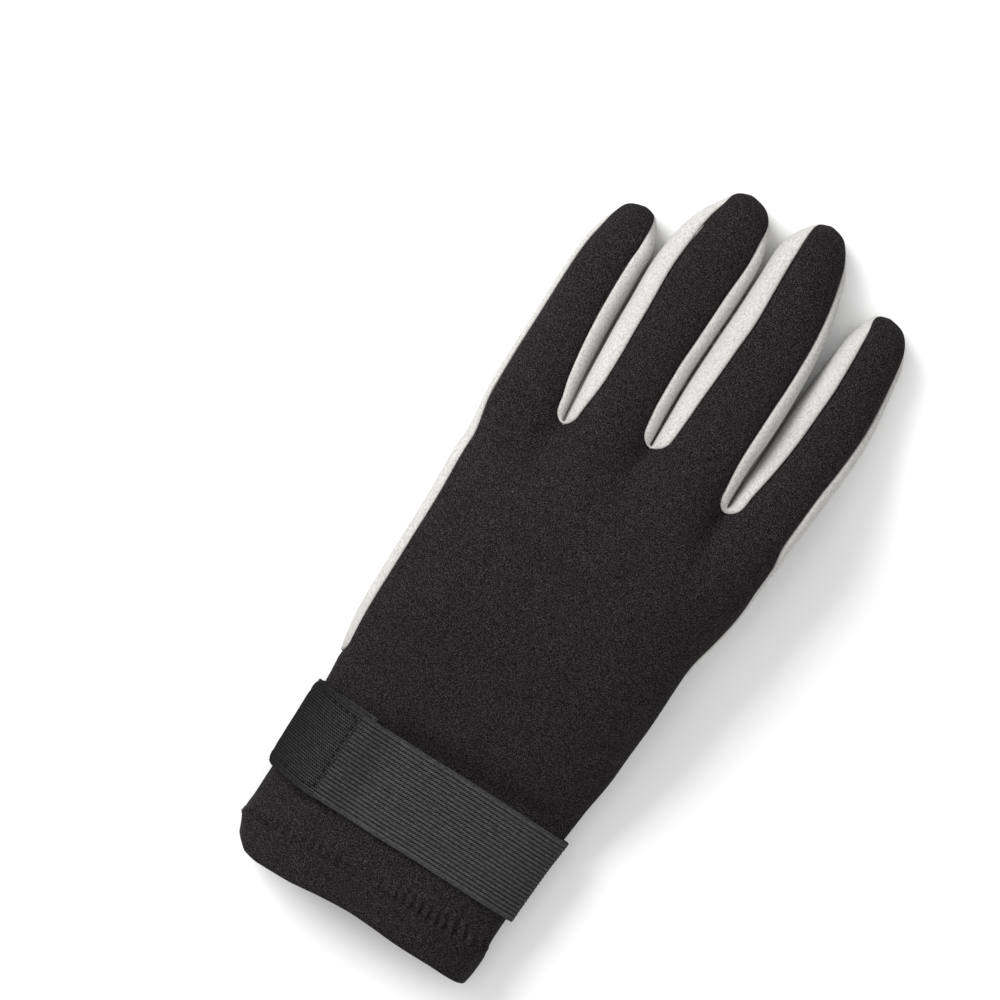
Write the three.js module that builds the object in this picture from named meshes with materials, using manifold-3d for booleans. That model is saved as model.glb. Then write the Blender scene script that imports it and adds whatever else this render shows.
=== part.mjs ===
// A diving glove for the left hand, lying palm down with the thumb folded under the palm.
// Millimetres, +Z up, +Y towards the fingertips, +X towards the index finger.

import * as THREE from 'three';
import { mergeVertices } from 'three/addons/utils/BufferGeometryUtils.js';
import Module from 'manifold-3d';

const wasm = await Module();
wasm.setup();

// Hand and cuff
const mouthY = -114;
const handLength = 166;
const palmWidth = 102;
const handHeight = 41;
const hemLength = 12;
const hemExtra = 0.8;
const fromMouth = (share) => mouthY + share * handLength;

// Fingers and thumb
const fingerClearance = 0.8;
const thumbLength = 88;
const thumbWidth = 33;
const thumbThickness = 16.5;
const thumbTip = { x: 1, y: fromMouth(1.012) };
const thumbLean = 28;
const thumbClearance = 1.2;

// Cloth
const wall = 2;
const patchThickness = 0.8;
const restFlat = 0.8;
const seamGap = 0.3;
const leastSize = 0.3;

// Wrist strap
const strapWidth = 29;
const strapThickness = 1.8;
const strapY = fromMouth(0.2386);
const strapSkew = 2.3;
const strapClearance = 0.3;
const tabEndX = -52.2;
const tabLength = 20;
const tabWidth = 30.4;
const tabCorner = 3;
const underlayReach = 3;
const underlayOffset = 1;

// Seams across the glove
const cuffSeamBackY = fromMouth(0.235);
const cuffSeamPalmY = fromMouth(0.4066);
const wrapSeamY = fromMouth(0.6807);
const backWebY = fromMouth(0.9518);
const palmWebY = fromMouth(0.9036);
const palmPatchFootY = fromMouth(0.5663);

// Roundness of the cross sections, and how many points they have
const handPower = 2.5;
const fingerPower = 2.3;
const handPoints = 22;
const fingerPoints = 10;
const far = 90;

function table(columns, rows) {
  return rows.map((row) => Object.fromEntries(columns.map((name, index) => [name, row[index]])));
}

// Straight reading between the rows of a table.
function read(rows, along) {
  const after = Math.min(Math.max(rows.findIndex((row) => row.along >= along), 1), rows.length - 1);
  const high = along > rows[after].along ? rows[rows.length - 1] : rows[after];
  const low = along > rows[after].along ? high : rows[after - 1];
  const share = high === low ? 0 : THREE.MathUtils.clamp((along - low.along) / (high.along - low.along), 0, 1);
  const blend = (name) => THREE.MathUtils.lerp(low[name], high[name], share);
  return Object.fromEntries(Object.keys(low).map((name) => [name, blend(name)]));
}

// The hand from the mouth of the cuff to the webs between the fingers. along is a share of handLength,
// centre and half are shares of palmWidth, and belly, side and crown are shares of handHeight. palmLeft and
// palmRight are the palm panel's seams from the middle line, as shares of the half width.
const handRows = table(['along', 'centre', 'half', 'belly', 'side', 'crown', 'palmLeft', 'palmRight'], [
  [0.0, -0.075, 0.387, -0.02, 0.31, 0.66, 0.86, 0.2],
  [0.025, -0.079, 0.4, -0.02, 0.31, 0.67, 0.86, 0.2],
  [0.075, -0.083, 0.411, -0.02, 0.31, 0.67, 0.86, 0.2],
  [0.226, -0.069, 0.416, -0.02, 0.32, 0.61, 0.86, 0.2],
  [0.389, -0.05, 0.432, -0.02, 0.37, 0.67, 0.86, 0.21],
  [0.486, -0.047, 0.453, 0.0, 0.45, 0.8, 0.86, 0.25],
  [0.58, -0.038, 0.459, 0.05, 0.54, 0.91, 0.86, 0.4],
  [0.688, -0.031, 0.46, 0.12, 0.59, 0.98, 0.86, 0.9],
  [0.761, -0.015, 0.474, 0.18, 0.61, 1.0, 0.86, 0.9],
  [0.815, -0.006, 0.485, 0.22, 0.61, 1.0, 0.86, 0.9],
  [0.87, 0.0, 0.494, 0.27, 0.61, 0.97, 0.86, 0.9],
  [0.924, 0.003, 0.497, 0.34, 0.6, 0.92, 0.86, 0.9],
  [0.957, 0.006, 0.447, 0.4, 0.6, 0.85, 0.86, 0.9],
  [0.982, 0.01, 0.28, 0.47, 0.6, 0.77, 0.86, 0.9],
  [1.0, 0.003, 0.06, 0.56, 0.6, 0.65, 0.86, 0.9],
]);

// Side profile of every finger. drop is a share of the finger's rise over the folded thumb, belly and crown
// are shares of its thickness.
const fingerProfile = table(['along', 'drop', 'belly', 'crown'], [
  [0.0, 1.0, 0.1, 1.0],
  [0.2, 1.0, 0, 1.02],
  [0.3, 0.9, 0, 1.06],
  [0.42, 0.62, 0, 1.06],
  [0.55, 0.3, 0, 1.04],
  [0.68, 0.08, 0, 1.0],
  [0.8, 0, 0, 0.95],
  [0.88, 0, 0, 0.9],
  [0.94, 0, 0.01, 0.8],
  [0.975, 0, 0.06, 0.66],
  [0.993, 0, 0.17, 0.52],
  [1.0, 0, 0.28, 0.4],
]);

// Plan of each finger. shift and half are shares of its width. The last four columns are the seams of the
// back and palm panels, left and right of the middle line, as shares of the half width.
const planColumns = ['along', 'shift', 'half', 'backLeft', 'backRight', 'palmLeft', 'palmRight'];

const fingers = [
  {
    name: 'little', length: 0.51687 * handLength, width: 0.21765 * palmWidth,
    thickness: 0.439 * handHeight, rise: 0.3902 * handHeight,
    root: { x: -0.37353 * palmWidth, y: fromMouth(0.86747) },
    patchTop: 0.54,
    plan: table(planColumns, [
      [0.0, 0.04, 0.4, 1.3, 1.5, 1.1, 1.5],
      [0.09, 0.01, 0.53, 0.96, 1.1, 0.85, 1.1],
      [0.175, 0.0, 0.554, 0.93, 0.92, 0.8, 0.9],
      [0.35, -0.014, 0.527, 0.89, 0.64, 0.6, 0.82],
      [0.524, -0.014, 0.5, 0.88, 0.54, 0.52, 0.8],
      [0.7, 0.0, 0.486, 0.88, 0.5, 0.52, 0.78],
      [0.804, 0.02, 0.466, 0.88, 0.5, 0.54, 0.76],
      [0.874, 0.054, 0.432, 0.88, 0.52, 0.56, 0.76],
      [0.927, 0.054, 0.372, 0.9, 0.62, 0.62, 0.78],
      [0.972, 0.047, 0.284, 0.94, 0.8, 0.72, 0.8],
      [0.993, 0.06, 0.176, 0.96, 0.9, 0.8, 0.8],
      [1.0, 0.068, 0.07, 0.96, 0.9, 0.8, 0.8],
    ]),
  },
  {
    name: 'ring', length: 0.61265 * handLength, width: 0.27059 * palmWidth,
    thickness: 0.4878 * handHeight, rise: 0.4488 * handHeight,
    root: { x: -0.12647 * palmWidth, y: fromMouth(0.88554) },
    patchTop: 0.515,
    plan: table(planColumns, [
      [0.0, -0.005, 0.38, 1.4, 1.4, 1.4, 1.4],
      [0.18, 0.0, 0.478, 0.82, 0.82, 0.85, 0.85],
      [0.325, -0.022, 0.489, 0.6, 0.72, 0.68, 0.72],
      [0.44, -0.022, 0.5, 0.57, 0.71, 0.64, 0.7],
      [0.56, -0.005, 0.516, 0.58, 0.72, 0.64, 0.7],
      [0.68, 0.011, 0.533, 0.6, 0.72, 0.64, 0.7],
      [0.8, 0.054, 0.505, 0.64, 0.76, 0.66, 0.72],
      [0.9, 0.09, 0.408, 0.74, 0.84, 0.7, 0.76],
      [0.944, 0.12, 0.337, 0.82, 0.9, 0.76, 0.8],
      [0.976, 0.11, 0.25, 0.94, 0.96, 0.8, 0.82],
      [0.993, 0.1, 0.158, 0.96, 0.96, 0.82, 0.82],
      [1.0, 0.09, 0.06, 0.96, 0.96, 0.82, 0.82],
    ]),
  },
  {
    name: 'middle', length: 0.62711 * handLength, width: 0.28824 * palmWidth,
    thickness: 0.5122 * handHeight, rise: 0.4537 * handHeight,
    root: { x: 0.14706 * palmWidth, y: fromMouth(0.89458) },
    patchTop: 0.52, tipPatch: { from: 0.71, to: 0.957 },
    plan: table(planColumns, [
      [0.0, -0.01, 0.38, 1.4, 1.4, 1.4, 1.4],
      [0.16, -0.015, 0.495, 0.8, 0.86, 0.82, 0.88],
      [0.25, -0.008, 0.498, 0.68, 0.78, 0.72, 0.84],
      [0.39, 0.02, 0.52, 0.61, 0.73, 0.68, 0.82],
      [0.535, 0.046, 0.515, 0.56, 0.76, 0.68, 0.82],
      [0.65, 0.056, 0.495, 0.52, 0.8, 0.68, 0.82],
      [0.764, 0.036, 0.454, 0.52, 0.88, 0.7, 0.82],
      [0.88, 0.0, 0.388, 0.5, 0.96, 0.72, 0.82],
      [0.922, -0.005, 0.342, 0.56, 0.97, 0.74, 0.82],
      [0.96, 0.0, 0.265, 0.7, 0.97, 0.78, 0.82],
      [0.992, 0.005, 0.15, 0.9, 0.97, 0.8, 0.82],
      [1.0, 0.0, 0.05, 0.9, 0.97, 0.8, 0.82],
    ]),
  },
  {
    name: 'index', length: 0.57108 * handLength, width: 0.24706 * palmWidth,
    thickness: 0.4878 * handHeight, rise: 0.4024 * handHeight,
    root: { x: 0.41765 * palmWidth, y: fromMouth(0.85843) },
    patchTop: 0.47, tipPatch: { from: 0.67, to: 0.965 },
    plan: table(planColumns, [
      [0.0, -0.14, 0.33, 1.5, 1.4, 1.5, 1.2],
      [0.09, -0.1, 0.43, 1.1, 1.1, 1.1, 0.95],
      [0.18, -0.083, 0.452, 0.78, 0.96, 0.82, 0.8],
      [0.3, -0.042, 0.482, 0.62, 0.9, 0.78, 0.7],
      [0.4, 0.0, 0.488, 0.52, 0.88, 0.76, 0.67],
      [0.49, 0.036, 0.5, 0.46, 0.88, 0.76, 0.67],
      [0.585, 0.06, 0.5, 0.42, 0.9, 0.76, 0.67],
      [0.71, 0.081, 0.462, 0.4, 0.94, 0.76, 0.68],
      [0.79, 0.083, 0.429, 0.42, 0.97, 0.76, 0.7],
      [0.87, 0.093, 0.39, 0.5, 0.98, 0.78, 0.72],
      [0.934, 0.089, 0.339, 0.6, 0.98, 0.8, 0.76],
      [0.975, 0.077, 0.256, 0.82, 0.98, 0.82, 0.8],
      [0.994, 0.065, 0.161, 0.9, 0.98, 0.82, 0.8],
      [1.0, 0.06, 0.05, 0.9, 0.98, 0.82, 0.8],
    ]),
  },
];

// The thumb from its base to its tip. aside and half are shares of thumbWidth, belly and crown of its
// thickness.
const thumbRows = table(['along', 'aside', 'half', 'belly', 'crown'], [
  [0.0, -0.74, 0.5, 0, 0.95],
  [0.12, -0.53, 0.52, 0, 1.0],
  [0.25, -0.33, 0.53, 0, 1.02],
  [0.4, -0.15, 0.53, 0, 1.02],
  [0.55, -0.05, 0.51, 0, 1.0],
  [0.7, 0.0, 0.48, 0, 0.98],
  [0.82, 0.0, 0.44, 0, 0.94],
  [0.9, 0.0, 0.38, 0, 0.87],
  [0.95, 0.0, 0.3, 0.03, 0.77],
  [0.985, 0.0, 0.18, 0.13, 0.6],
  [1.0, 0.0, 0.05, 0.26, 0.44],
]);
const thumbSeam = 0.36;
const thumbRise = { from: 0.1, to: 0.33 };
const thumbPatch = { from: 0.5, to: 0.955, share: 0.82 };

function signedVolume(geometry) {
  const corner = (index) => new THREE.Vector3().fromBufferAttribute(geometry.attributes.position, index);
  let sum = 0;
  for (let start = 0; start < geometry.index.count; start += 3) {
    const [a, b, c] = [0, 1, 2].map((offset) => corner(geometry.index.getX(start + offset)));
    sum += a.dot(b.cross(c)) / 6;
  }
  return sum;
}

// A closed mesh as a solid with its faces pointing out.
function solidFrom(geometry) {
  const bare = geometry.clone();
  bare.deleteAttribute('normal');
  bare.deleteAttribute('uv');
  const merged = mergeVertices(bare, 1e-5);
  if (signedVolume(merged) < 0) merged.index.array.reverse();
  return new wasm.Manifold(new wasm.Mesh({
    numProp: 3,
    vertProperties: new Float32Array(merged.attributes.position.array),
    triVerts: new Uint32Array(merged.index.array),
  }));
}

function geometryFrom(points, faces) {
  const geometry = new THREE.BufferGeometry();
  geometry.setAttribute('position', new THREE.Float32BufferAttribute(points.flatMap((p) => [p.x, p.y, p.z]), 3));
  geometry.setIndex(faces);
  return geometry;
}

// A closed body through rings of points, each closed by a fan at its end.
function loft(rings) {
  const size = rings[0].length;
  const points = rings.flat();
  const faces = [];
  for (let ring = 0; ring < rings.length - 1; ring += 1) {
    for (let step = 0; step < size; step += 1) {
      const next = (step + 1) % size;
      const [a, b] = [ring * size + step, ring * size + next];
      faces.push(a, a + size, b, b, a + size, b + size);
    }
  }
  const last = (rings.length - 1) * size;
  for (let step = 1; step < size - 1; step += 1) {
    faces.push(0, step, step + 1);
    faces.push(last, last + step + 1, last + step);
  }
  return solidFrom(geometryFrom(points, faces));
}

// A closed body between an outer and an inner grid of points with the same rows and columns.
function slab(outer, inner) {
  const [rows, columns] = [outer.length, outer[0].length];
  const points = [...outer.flat(), ...inner.flat()];
  const under = rows * columns;
  const faces = [];
  const quad = (a, b, c, d) => faces.push(a, b, c, a, c, d);
  for (let row = 0; row < rows - 1; row += 1) {
    for (let column = 0; column < columns - 1; column += 1) {
      const a = row * columns + column;
      quad(a, a + columns, a + columns + 1, a + 1);
      quad(under + a, under + a + 1, under + a + columns + 1, under + a + columns);
    }
  }
  for (let row = 0; row < rows - 1; row += 1) {
    const [left, right] = [row * columns, row * columns + columns - 1];
    quad(left, under + left, under + left + columns, left + columns);
    quad(right, right + columns, under + right + columns, under + right);
  }
  for (let column = 0; column < columns - 1; column += 1) {
    const [first, last] = [column, (rows - 1) * columns + column];
    quad(first, first + 1, under + first + 1, under + first);
    quad(last, under + last, under + last + 1, last + 1);
  }
  return solidFrom(geometryFrom(points, faces));
}

const signedPower = (value, power) => Math.sign(value) * Math.abs(value) ** power;
const along = (y) => (y - mouthY) / handLength;

function smooth(value, low, high) {
  return THREE.MathUtils.smoothstep(value, low, high);
}

// Middle line of the thumb in plan, with the direction of its width.
const lean = THREE.MathUtils.degToRad(thumbLean);
const thumbAcross = new THREE.Vector2(Math.cos(lean), Math.sin(lean));
const thumbForward = new THREE.Vector2(-Math.sin(lean), Math.cos(lean));

function thumbCentre(share) {
  const back = (share - 1) * thumbLength;
  const aside = read(thumbRows, share).aside * thumbWidth;
  return new THREE.Vector2(thumbTip.x, thumbTip.y)
    .addScaledVector(thumbForward, back)
    .addScaledVector(thumbAcross, aside);
}

// Height of the hollow that the folded thumb presses into the palm.
const hollowSteps = 16;
const hollowCore = 0.75;
const hollowFade = 0.5;
function hollow(x, y) {
  let best = { distance: Infinity, share: 0 };
  for (let step = 0; step <= hollowSteps; step += 1) {
    const share = step / hollowSteps;
    const distance = thumbCentre(share).distanceTo(new THREE.Vector2(x, y));
    if (distance < best.distance) best = { distance, share };
  }
  const half = read(thumbRows, best.share).half * thumbWidth;
  const top = thumbThickness * Math.max(...thumbRows.map((row) => row.crown)) + thumbClearance;
  const fade = 1 - smooth(best.distance, half * hollowCore, half * hollowCore + thumbWidth * hollowFade);
  return top * fade * smooth(best.share, thumbRise.from, thumbRise.to);
}

// The strap lies on the floor under the wrist, so the wrist is lifted by what lies under it.
const strapStack = strapThickness + strapClearance;
const strapReach = strapWidth / 2 + strapSkew + underlayOffset;
const strapRamp = 3;
function restHeight(y) {
  return strapStack * (1 - smooth(Math.abs(y - strapY), strapReach, strapReach + strapRamp));
}

// The hem is folded over on the outside of the cuff.
const hemY = mouthY + hemLength;
const hemRamp = 0.6;
const hemGrow = (y) => hemExtra * (1 - smooth(y, hemY, hemY + hemRamp));

// A point on the hand's section at y, at an angle from the index side, drawn in by inset.
function handPoint(y, angle, inset) {
  const row = read(handRows, along(y));
  const [c, s] = [Math.cos(angle), Math.sin(angle)];
  const drawn = inset < wall ? inset - hemGrow(y) : inset;
  const half = Math.max(row.half * palmWidth - drawn, leastSize);
  const side = row.side * handHeight;
  const rise = Math.max((row.crown - row.side) * handHeight - drawn, leastSize);
  const fall = Math.max((row.side - row.belly) * handHeight - drawn, leastSize);
  const x = row.centre * palmWidth + half * signedPower(c, 2 / handPower);
  const z = side + (s > 0 ? rise : fall) * signedPower(s, 2 / handPower);
  const floor = Math.max(restHeight(y), s < 0 ? hollow(x, y) : 0) + inset;
  return new THREE.Vector3(x, y, Math.max(z, floor));
}

function ringOf(count, point) {
  return Array.from({ length: count }, (_, step) => point((step / count) * Math.PI * 2));
}

const strapStations = [-1, 1].flatMap((end) => [
  strapY + end * strapReach,
  strapY + end * (strapReach + strapRamp),
]);
const rowStations = handRows.map((row) => mouthY + row.along * handLength);
const handStations = [...rowStations, ...strapStations, hemY, hemY + hemRamp].sort((a, b) => a - b);

const openEnd = 5;
function handLoft(inset) {
  const rings = handStations.map((y) => {
    const share = along(y);
    const drawn = ringOf(handPoints, (angle) => handPoint(y, angle, inset));
    return drawn.map((point) => point.setY(y - inset * share));
  });
  if (inset > 0) rings.unshift(rings[0].map((point) => point.clone().setY(mouthY - openEnd)));
  return loft(rings);
}

// Middle, half width and heights of a finger's section, at a share of its length.
function fingerSection(finger, share) {
  const plan = read(finger.plan, share);
  const profile = read(fingerProfile, share);
  const ground = finger.rise * profile.drop - restFlat;
  return {
    y: finger.root.y + share * finger.length,
    x: finger.root.x + plan.shift * finger.width,
    half: plan.half * finger.width - fingerClearance / 2,
    low: ground + profile.belly * finger.thickness,
    high: ground + profile.crown * finger.thickness,
    plan,
  };
}

function ovalRing(section, across, count, power, inset) {
  const middle = (section.low + section.high) / 2;
  const rise = Math.max((section.high - section.low) / 2 - inset, leastSize);
  const half = Math.max(section.half - inset, leastSize);
  return ringOf(count, (angle) => {
    const out = half * signedPower(Math.cos(angle), 2 / power);
    const z = middle + rise * signedPower(Math.sin(angle), 2 / power);
    return new THREE.Vector3(section.x + out * across.x, section.y + out * across.y, Math.max(z, inset));
  });
}

const acrossX = new THREE.Vector2(1, 0);
function fingerLoft(finger, inset) {
  return loft(finger.plan.map((row) => {
    const section = fingerSection(finger, row.along);
    section.y -= inset * row.along;
    return ovalRing(section, acrossX, fingerPoints, fingerPower, inset);
  }));
}

function thumbSection(share) {
  const row = read(thumbRows, share);
  const centre = thumbCentre(share);
  return {
    x: centre.x,
    y: centre.y,
    half: row.half * thumbWidth,
    low: row.belly * thumbThickness - restFlat,
    high: row.crown * thumbThickness - restFlat,
  };
}

function thumbLoft(inset, from = 0) {
  const shares = [from, ...thumbRows.map((row) => row.along).filter((share) => share > from)];
  return loft(shares.map((share) => {
    const section = thumbSection(share);
    section.x -= inset * share * thumbForward.x;
    section.y -= inset * share * thumbForward.y;
    return ovalRing(section, thumbAcross, fingerPoints, fingerPower, inset);
  }));
}

function join(solids) {
  return solids.reduce((all, solid) => all.add(solid));
}

function handAndFingers(inset) {
  return join([handLoft(inset), ...fingers.map((finger) => fingerLoft(finger, inset))]);
}

// A cutting body through upright rectangles. Each stop gives y, left, right, bottom and top.
function cutter(stops) {
  return loft(stops.map(({ y, left, right, bottom, top }) => [
    new THREE.Vector3(right, y, bottom),
    new THREE.Vector3(right, y, top),
    new THREE.Vector3(left, y, top),
    new THREE.Vector3(left, y, bottom),
  ]));
}

// Sets a cutting body's ends further out and turns its stops into a solid.
function cutterBetween(stops, grow) {
  stops[0].y -= grow;
  stops[stops.length - 1].y += grow;
  return cutter(stops);
}

function fingerCutter(finger, { isBack, from = 0, to = 1, grow = 0 }) {
  const inner = finger.plan.map((row) => row.along).filter((share) => share > from && share < to);
  const stops = [from, ...inner, to].map((share) => {
    const section = fingerSection(finger, share);
    const middle = (section.low + section.high) / 2;
    const [leftShare, rightShare] = isBack
      ? [section.plan.backLeft, section.plan.backRight]
      : [section.plan.palmLeft, section.plan.palmRight];
    return {
      y: section.y,
      left: section.x - section.half * leftShare - grow,
      right: section.x + section.half * rightShare + grow,
      bottom: isBack ? middle - grow : -far,
      top: isBack ? far : middle + grow,
    };
  });
  return cutterBetween(stops, grow);
}

// Cuts the hand between two places along it. left and right give the seam's share of the half width.
function handCutter({ from, to, left, right, isBack, grow = 0, drop = 0 }) {
  const inner = handStations.filter((y) => y > from && y < to);
  const stops = [from, ...inner, to].map((y) => {
    const row = read(handRows, along(y));
    const [centre, half, side] = [row.centre * palmWidth, row.half * palmWidth, row.side * handHeight];
    return {
      y,
      left: centre - half * left(row) - grow,
      right: centre + half * right(row) + grow,
      bottom: isBack ? side - grow : -far,
      top: isBack ? far : side + grow - drop,
    };
  });
  return cutterBetween(stops, grow);
}

const beyond = () => 1.5;
const backLeftSeam = () => 0.955;
const palmLeftSeam = (row) => row.palmLeft;
const palmRightSeam = (row) => row.palmRight;
const tipMargin = 0.6;
const tipShare = (finger) => 1 - tipMargin / finger.length;

function backCutter(grow) {
  const wrist = { from: cuffSeamBackY + seamGap, to: cuffSeamPalmY, left: beyond, right: beyond };
  const hand = { from: cuffSeamPalmY, to: backWebY, left: backLeftSeam, right: beyond };
  return join([
    handCutter({ ...wrist, isBack: true, grow }),
    handCutter({ ...hand, isBack: true, grow }),
    ...fingers.map((finger) => fingerCutter(finger, { isBack: true, to: tipShare(finger), grow })),
  ]);
}

// Where the back panel wraps round the index side to the base of the thumb.
function wrapCutter(grow) {
  const span = { from: cuffSeamPalmY, to: wrapSeamY, left: (row) => -row.palmRight, right: beyond };
  return handCutter({ ...span, isBack: false, drop: -2 * seamGap, grow });
}

function palmCutter({ from = cuffSeamPalmY + seamGap, fingerEnd = tipShare, grow = 0 }) {
  return join([
    handCutter({ from, to: palmWebY, left: palmLeftSeam, right: palmRightSeam, isBack: false, grow }),
    ...fingers.map((finger) => fingerCutter(finger, { isBack: false, to: fingerEnd(finger), grow })),
  ]);
}

function cuffCutter(grow) {
  const start = mouthY - far;
  const allRound = { from: start, to: cuffSeamBackY, left: beyond, right: beyond, isBack: false, drop: -far };
  const palmSide = { from: start, to: cuffSeamPalmY, left: beyond, right: beyond, isBack: false };
  return join([
    handCutter({ ...allRound, grow }),
    handCutter({ ...palmSide, drop: seamGap, grow }),
  ]);
}

// The space between the middle lines of two neighbouring fingers, or outside the first or last one.
function betweenFingers(left, right) {
  const tips = fingers.map((finger) => finger.root.y + finger.length);
  const start = Math.min(...fingers.map((finger) => finger.root.y));
  const steps = 14;
  const middleX = (finger, y) => {
    const share = THREE.MathUtils.clamp((y - finger.root.y) / finger.length, 0, 1);
    return fingerSection(finger, share).x;
  };
  const end = Math.max(...tips);
  const places = Array.from({ length: steps + 1 }, (_, step) => start + (step / steps) * (end - start));
  return cutter([mouthY, ...places, end + far].map((y) => ({
    y,
    left: left ? middleX(left, y) + seamGap / 2 : -far,
    right: right ? middleX(right, y) - seamGap / 2 : far,
    bottom: -far,
    top: far,
  })));
}

// Cuts the thumb into its front above and its back below.
function thumbCutter({ isFront, from = 0, to = 1, share = 2, lift = 0 }) {
  const inner = thumbRows.map((row) => row.along).filter((value) => value > from && value < to);
  return loft([from, ...inner, to].map((value) => {
    const section = thumbSection(value);
    const middle = (section.low + section.high) / 2 + lift;
    const out = section.half * share;
    const corner = (sign, z) => new THREE.Vector3(
      section.x + sign * out * thumbAcross.x, section.y + sign * out * thumbAcross.y, z,
    );
    const [bottom, top] = isFront ? [middle, far] : [-far, middle];
    return [corner(1, bottom), corner(1, top), corner(-1, top), corner(-1, bottom)];
  }));
}

// The largest connected piece, without the crumbs that a seam leaves.
function whole(solid) {
  const pieces = solid.decompose();
  return pieces.reduce((best, piece) => (piece.volume() > best.volume() ? piece : best));
}

// The glove as one hollow skin, then its thumb and the rest
const skin = join([handAndFingers(0), thumbLoft(0)]).subtract(join([handAndFingers(wall), thumbLoft(wall)]));
const thumbSkinGrow = 0.1;
const gapShare = seamGap / thumbLength;
const thumbSkin = skin.intersect(thumbLoft(-thumbSkinGrow, thumbSeam));
const handSkin = skin.subtract(thumbLoft(-thumbSkinGrow - seamGap, thumbSeam - gapShare));

function makeThumb() {
  const back = thumbSkin.intersect(thumbCutter({ isFront: false, lift: -seamGap / 2 }));
  const front = thumbSkin.intersect(thumbCutter({ isFront: true, lift: seamGap / 2 }));
  const span = { isFront: true, from: thumbPatch.from, to: thumbPatch.to, share: thumbPatch.share };
  const patchSpace = thumbCutter({ ...span, lift: seamGap });
  const patchGap = thumbCutter({
    ...span, from: span.from - gapShare, to: span.to + gapShare,
    share: span.share + seamGap / (thumbWidth / 2), lift: 0,
  });
  const patch = front.intersect(patchSpace).subtract(thumbLoft(patchThickness));
  const recess = patchGap.subtract(thumbLoft(patchThickness + seamGap));
  return { back, front: front.subtract(recess), patch };
}

function makePatches() {
  const palmEnd = (finger) => finger.patchTop;
  const under = handAndFingers(patchThickness);
  const underGap = handAndFingers(patchThickness + seamGap);
  const palmSpace = palmCutter({ from: palmPatchFootY, fingerEnd: palmEnd });
  const palmSpaceGap = palmCutter({ from: palmPatchFootY, fingerEnd: palmEnd, grow: seamGap });
  const tips = fingers.filter((finger) => finger.tipPatch).map((finger) => {
    const span = { isBack: false, ...finger.tipPatch };
    return {
      name: finger.name,
      space: fingerCutter(finger, span),
      spaceGap: fingerCutter(finger, { ...span, grow: seamGap }),
    };
  });
  const cut = (space) => handSkin.intersect(space).subtract(under).subtract(backCutter(seamGap));
  return {
    palm: cut(palmSpace),
    tips: tips.map(({ name, space }) => ({ name, solid: cut(space) })),
    recess: join([palmSpaceGap, ...tips.map(({ spaceGap }) => spaceGap)]).subtract(underGap),
  };
}

function makePanels(recess) {
  const cuff = cuffCutter(0);
  const cuffGap = cuffCutter(seamGap);
  const back = handSkin.intersect(join([backCutter(0), wrapCutter(-seamGap)])).subtract(cuffGap);
  const palm = handSkin.intersect(palmCutter({})).subtract(backCutter(seamGap)).subtract(recess);
  const strips = handSkin
    .subtract(backCutter(seamGap))
    .subtract(wrapCutter(0))
    .subtract(palmCutter({ grow: seamGap }))
    .subtract(cuffGap);
  const pairs = [null, ...fingers].map((left, index) => [left, fingers[index] ?? null]);
  const gussets = pairs.map(([left, right]) => {
    const name = left && right ? `${left.name}_${right.name}` : `${(left ?? right).name}_outer`;
    return { name: `gusset_${name}`, solid: strips.intersect(betweenFingers(left, right)) };
  });
  return { cuff: handSkin.intersect(cuff), back, palm, gussets };
}

// The strap. It starts at the stitched tab, goes over the back to the index side, under the wrist and up again
// at the little-finger side, and ends under the tab.
const jointX = tabEndX + tabLength;
const jointRamp = 8;
const underlayTurn = 0.6;
const cutMargin = 1;

function angleAt(x, grow = 0) {
  const row = read(handRows, along(strapY));
  const share = (x - row.centre * palmWidth) / (row.half * palmWidth + grow);
  return Math.acos(signedPower(THREE.MathUtils.clamp(share, -1, 1), handPower / 2));
}

function strapGrid({ angles, width, lift, shift, outer }) {
  const edges = [-0.5, 0, 0.5];
  return angles.map((angle) => edges.map((edge) => {
    const y = strapY + edge * width - strapSkew * Math.cos(angle) + shift(angle);
    return handPoint(y, angle, -(strapClearance + lift(angle) + (outer ? strapThickness : 0)));
  }));
}

function strapSlab(options) {
  return slab(strapGrid({ ...options, outer: true }), strapGrid({ ...options, outer: false }));
}

// The angles of the hand's own points, falling from one angle to another, so that the strap runs alongside.
function cornersBetween(from, to) {
  const step = (2 * Math.PI) / handPoints;
  const first = Math.ceil(from / step - 0.25) - 1;
  const last = Math.floor(to / step + 0.25) + 1;
  return Array.from({ length: first - last + 1 }, (_, index) => (first - index) * step);
}

function steps(from, to, count) {
  return Array.from({ length: count + 1 }, (_, step) => THREE.MathUtils.lerp(from, to, step / count));
}

function makeBand() {
  const start = angleAt(jointX + seamGap);
  const rampStart = angleAt(jointX + underlayReach + seamGap);
  const rampEnd = angleAt(jointX + underlayReach + jointRamp);
  const end = angleAt(jointX + underlayReach) - 2 * Math.PI;
  const angles = [start, ...steps(rampStart, rampEnd, 3), ...cornersBetween(rampEnd, end), end];
  return strapSlab({
    angles,
    width: strapWidth,
    lift: (angle) => strapStack * smooth(angle, rampEnd, rampStart),
    shift: (angle) => underlayOffset * (1 - smooth(angle, -Math.PI, -Math.PI * underlayTurn)),
  });
}

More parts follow.
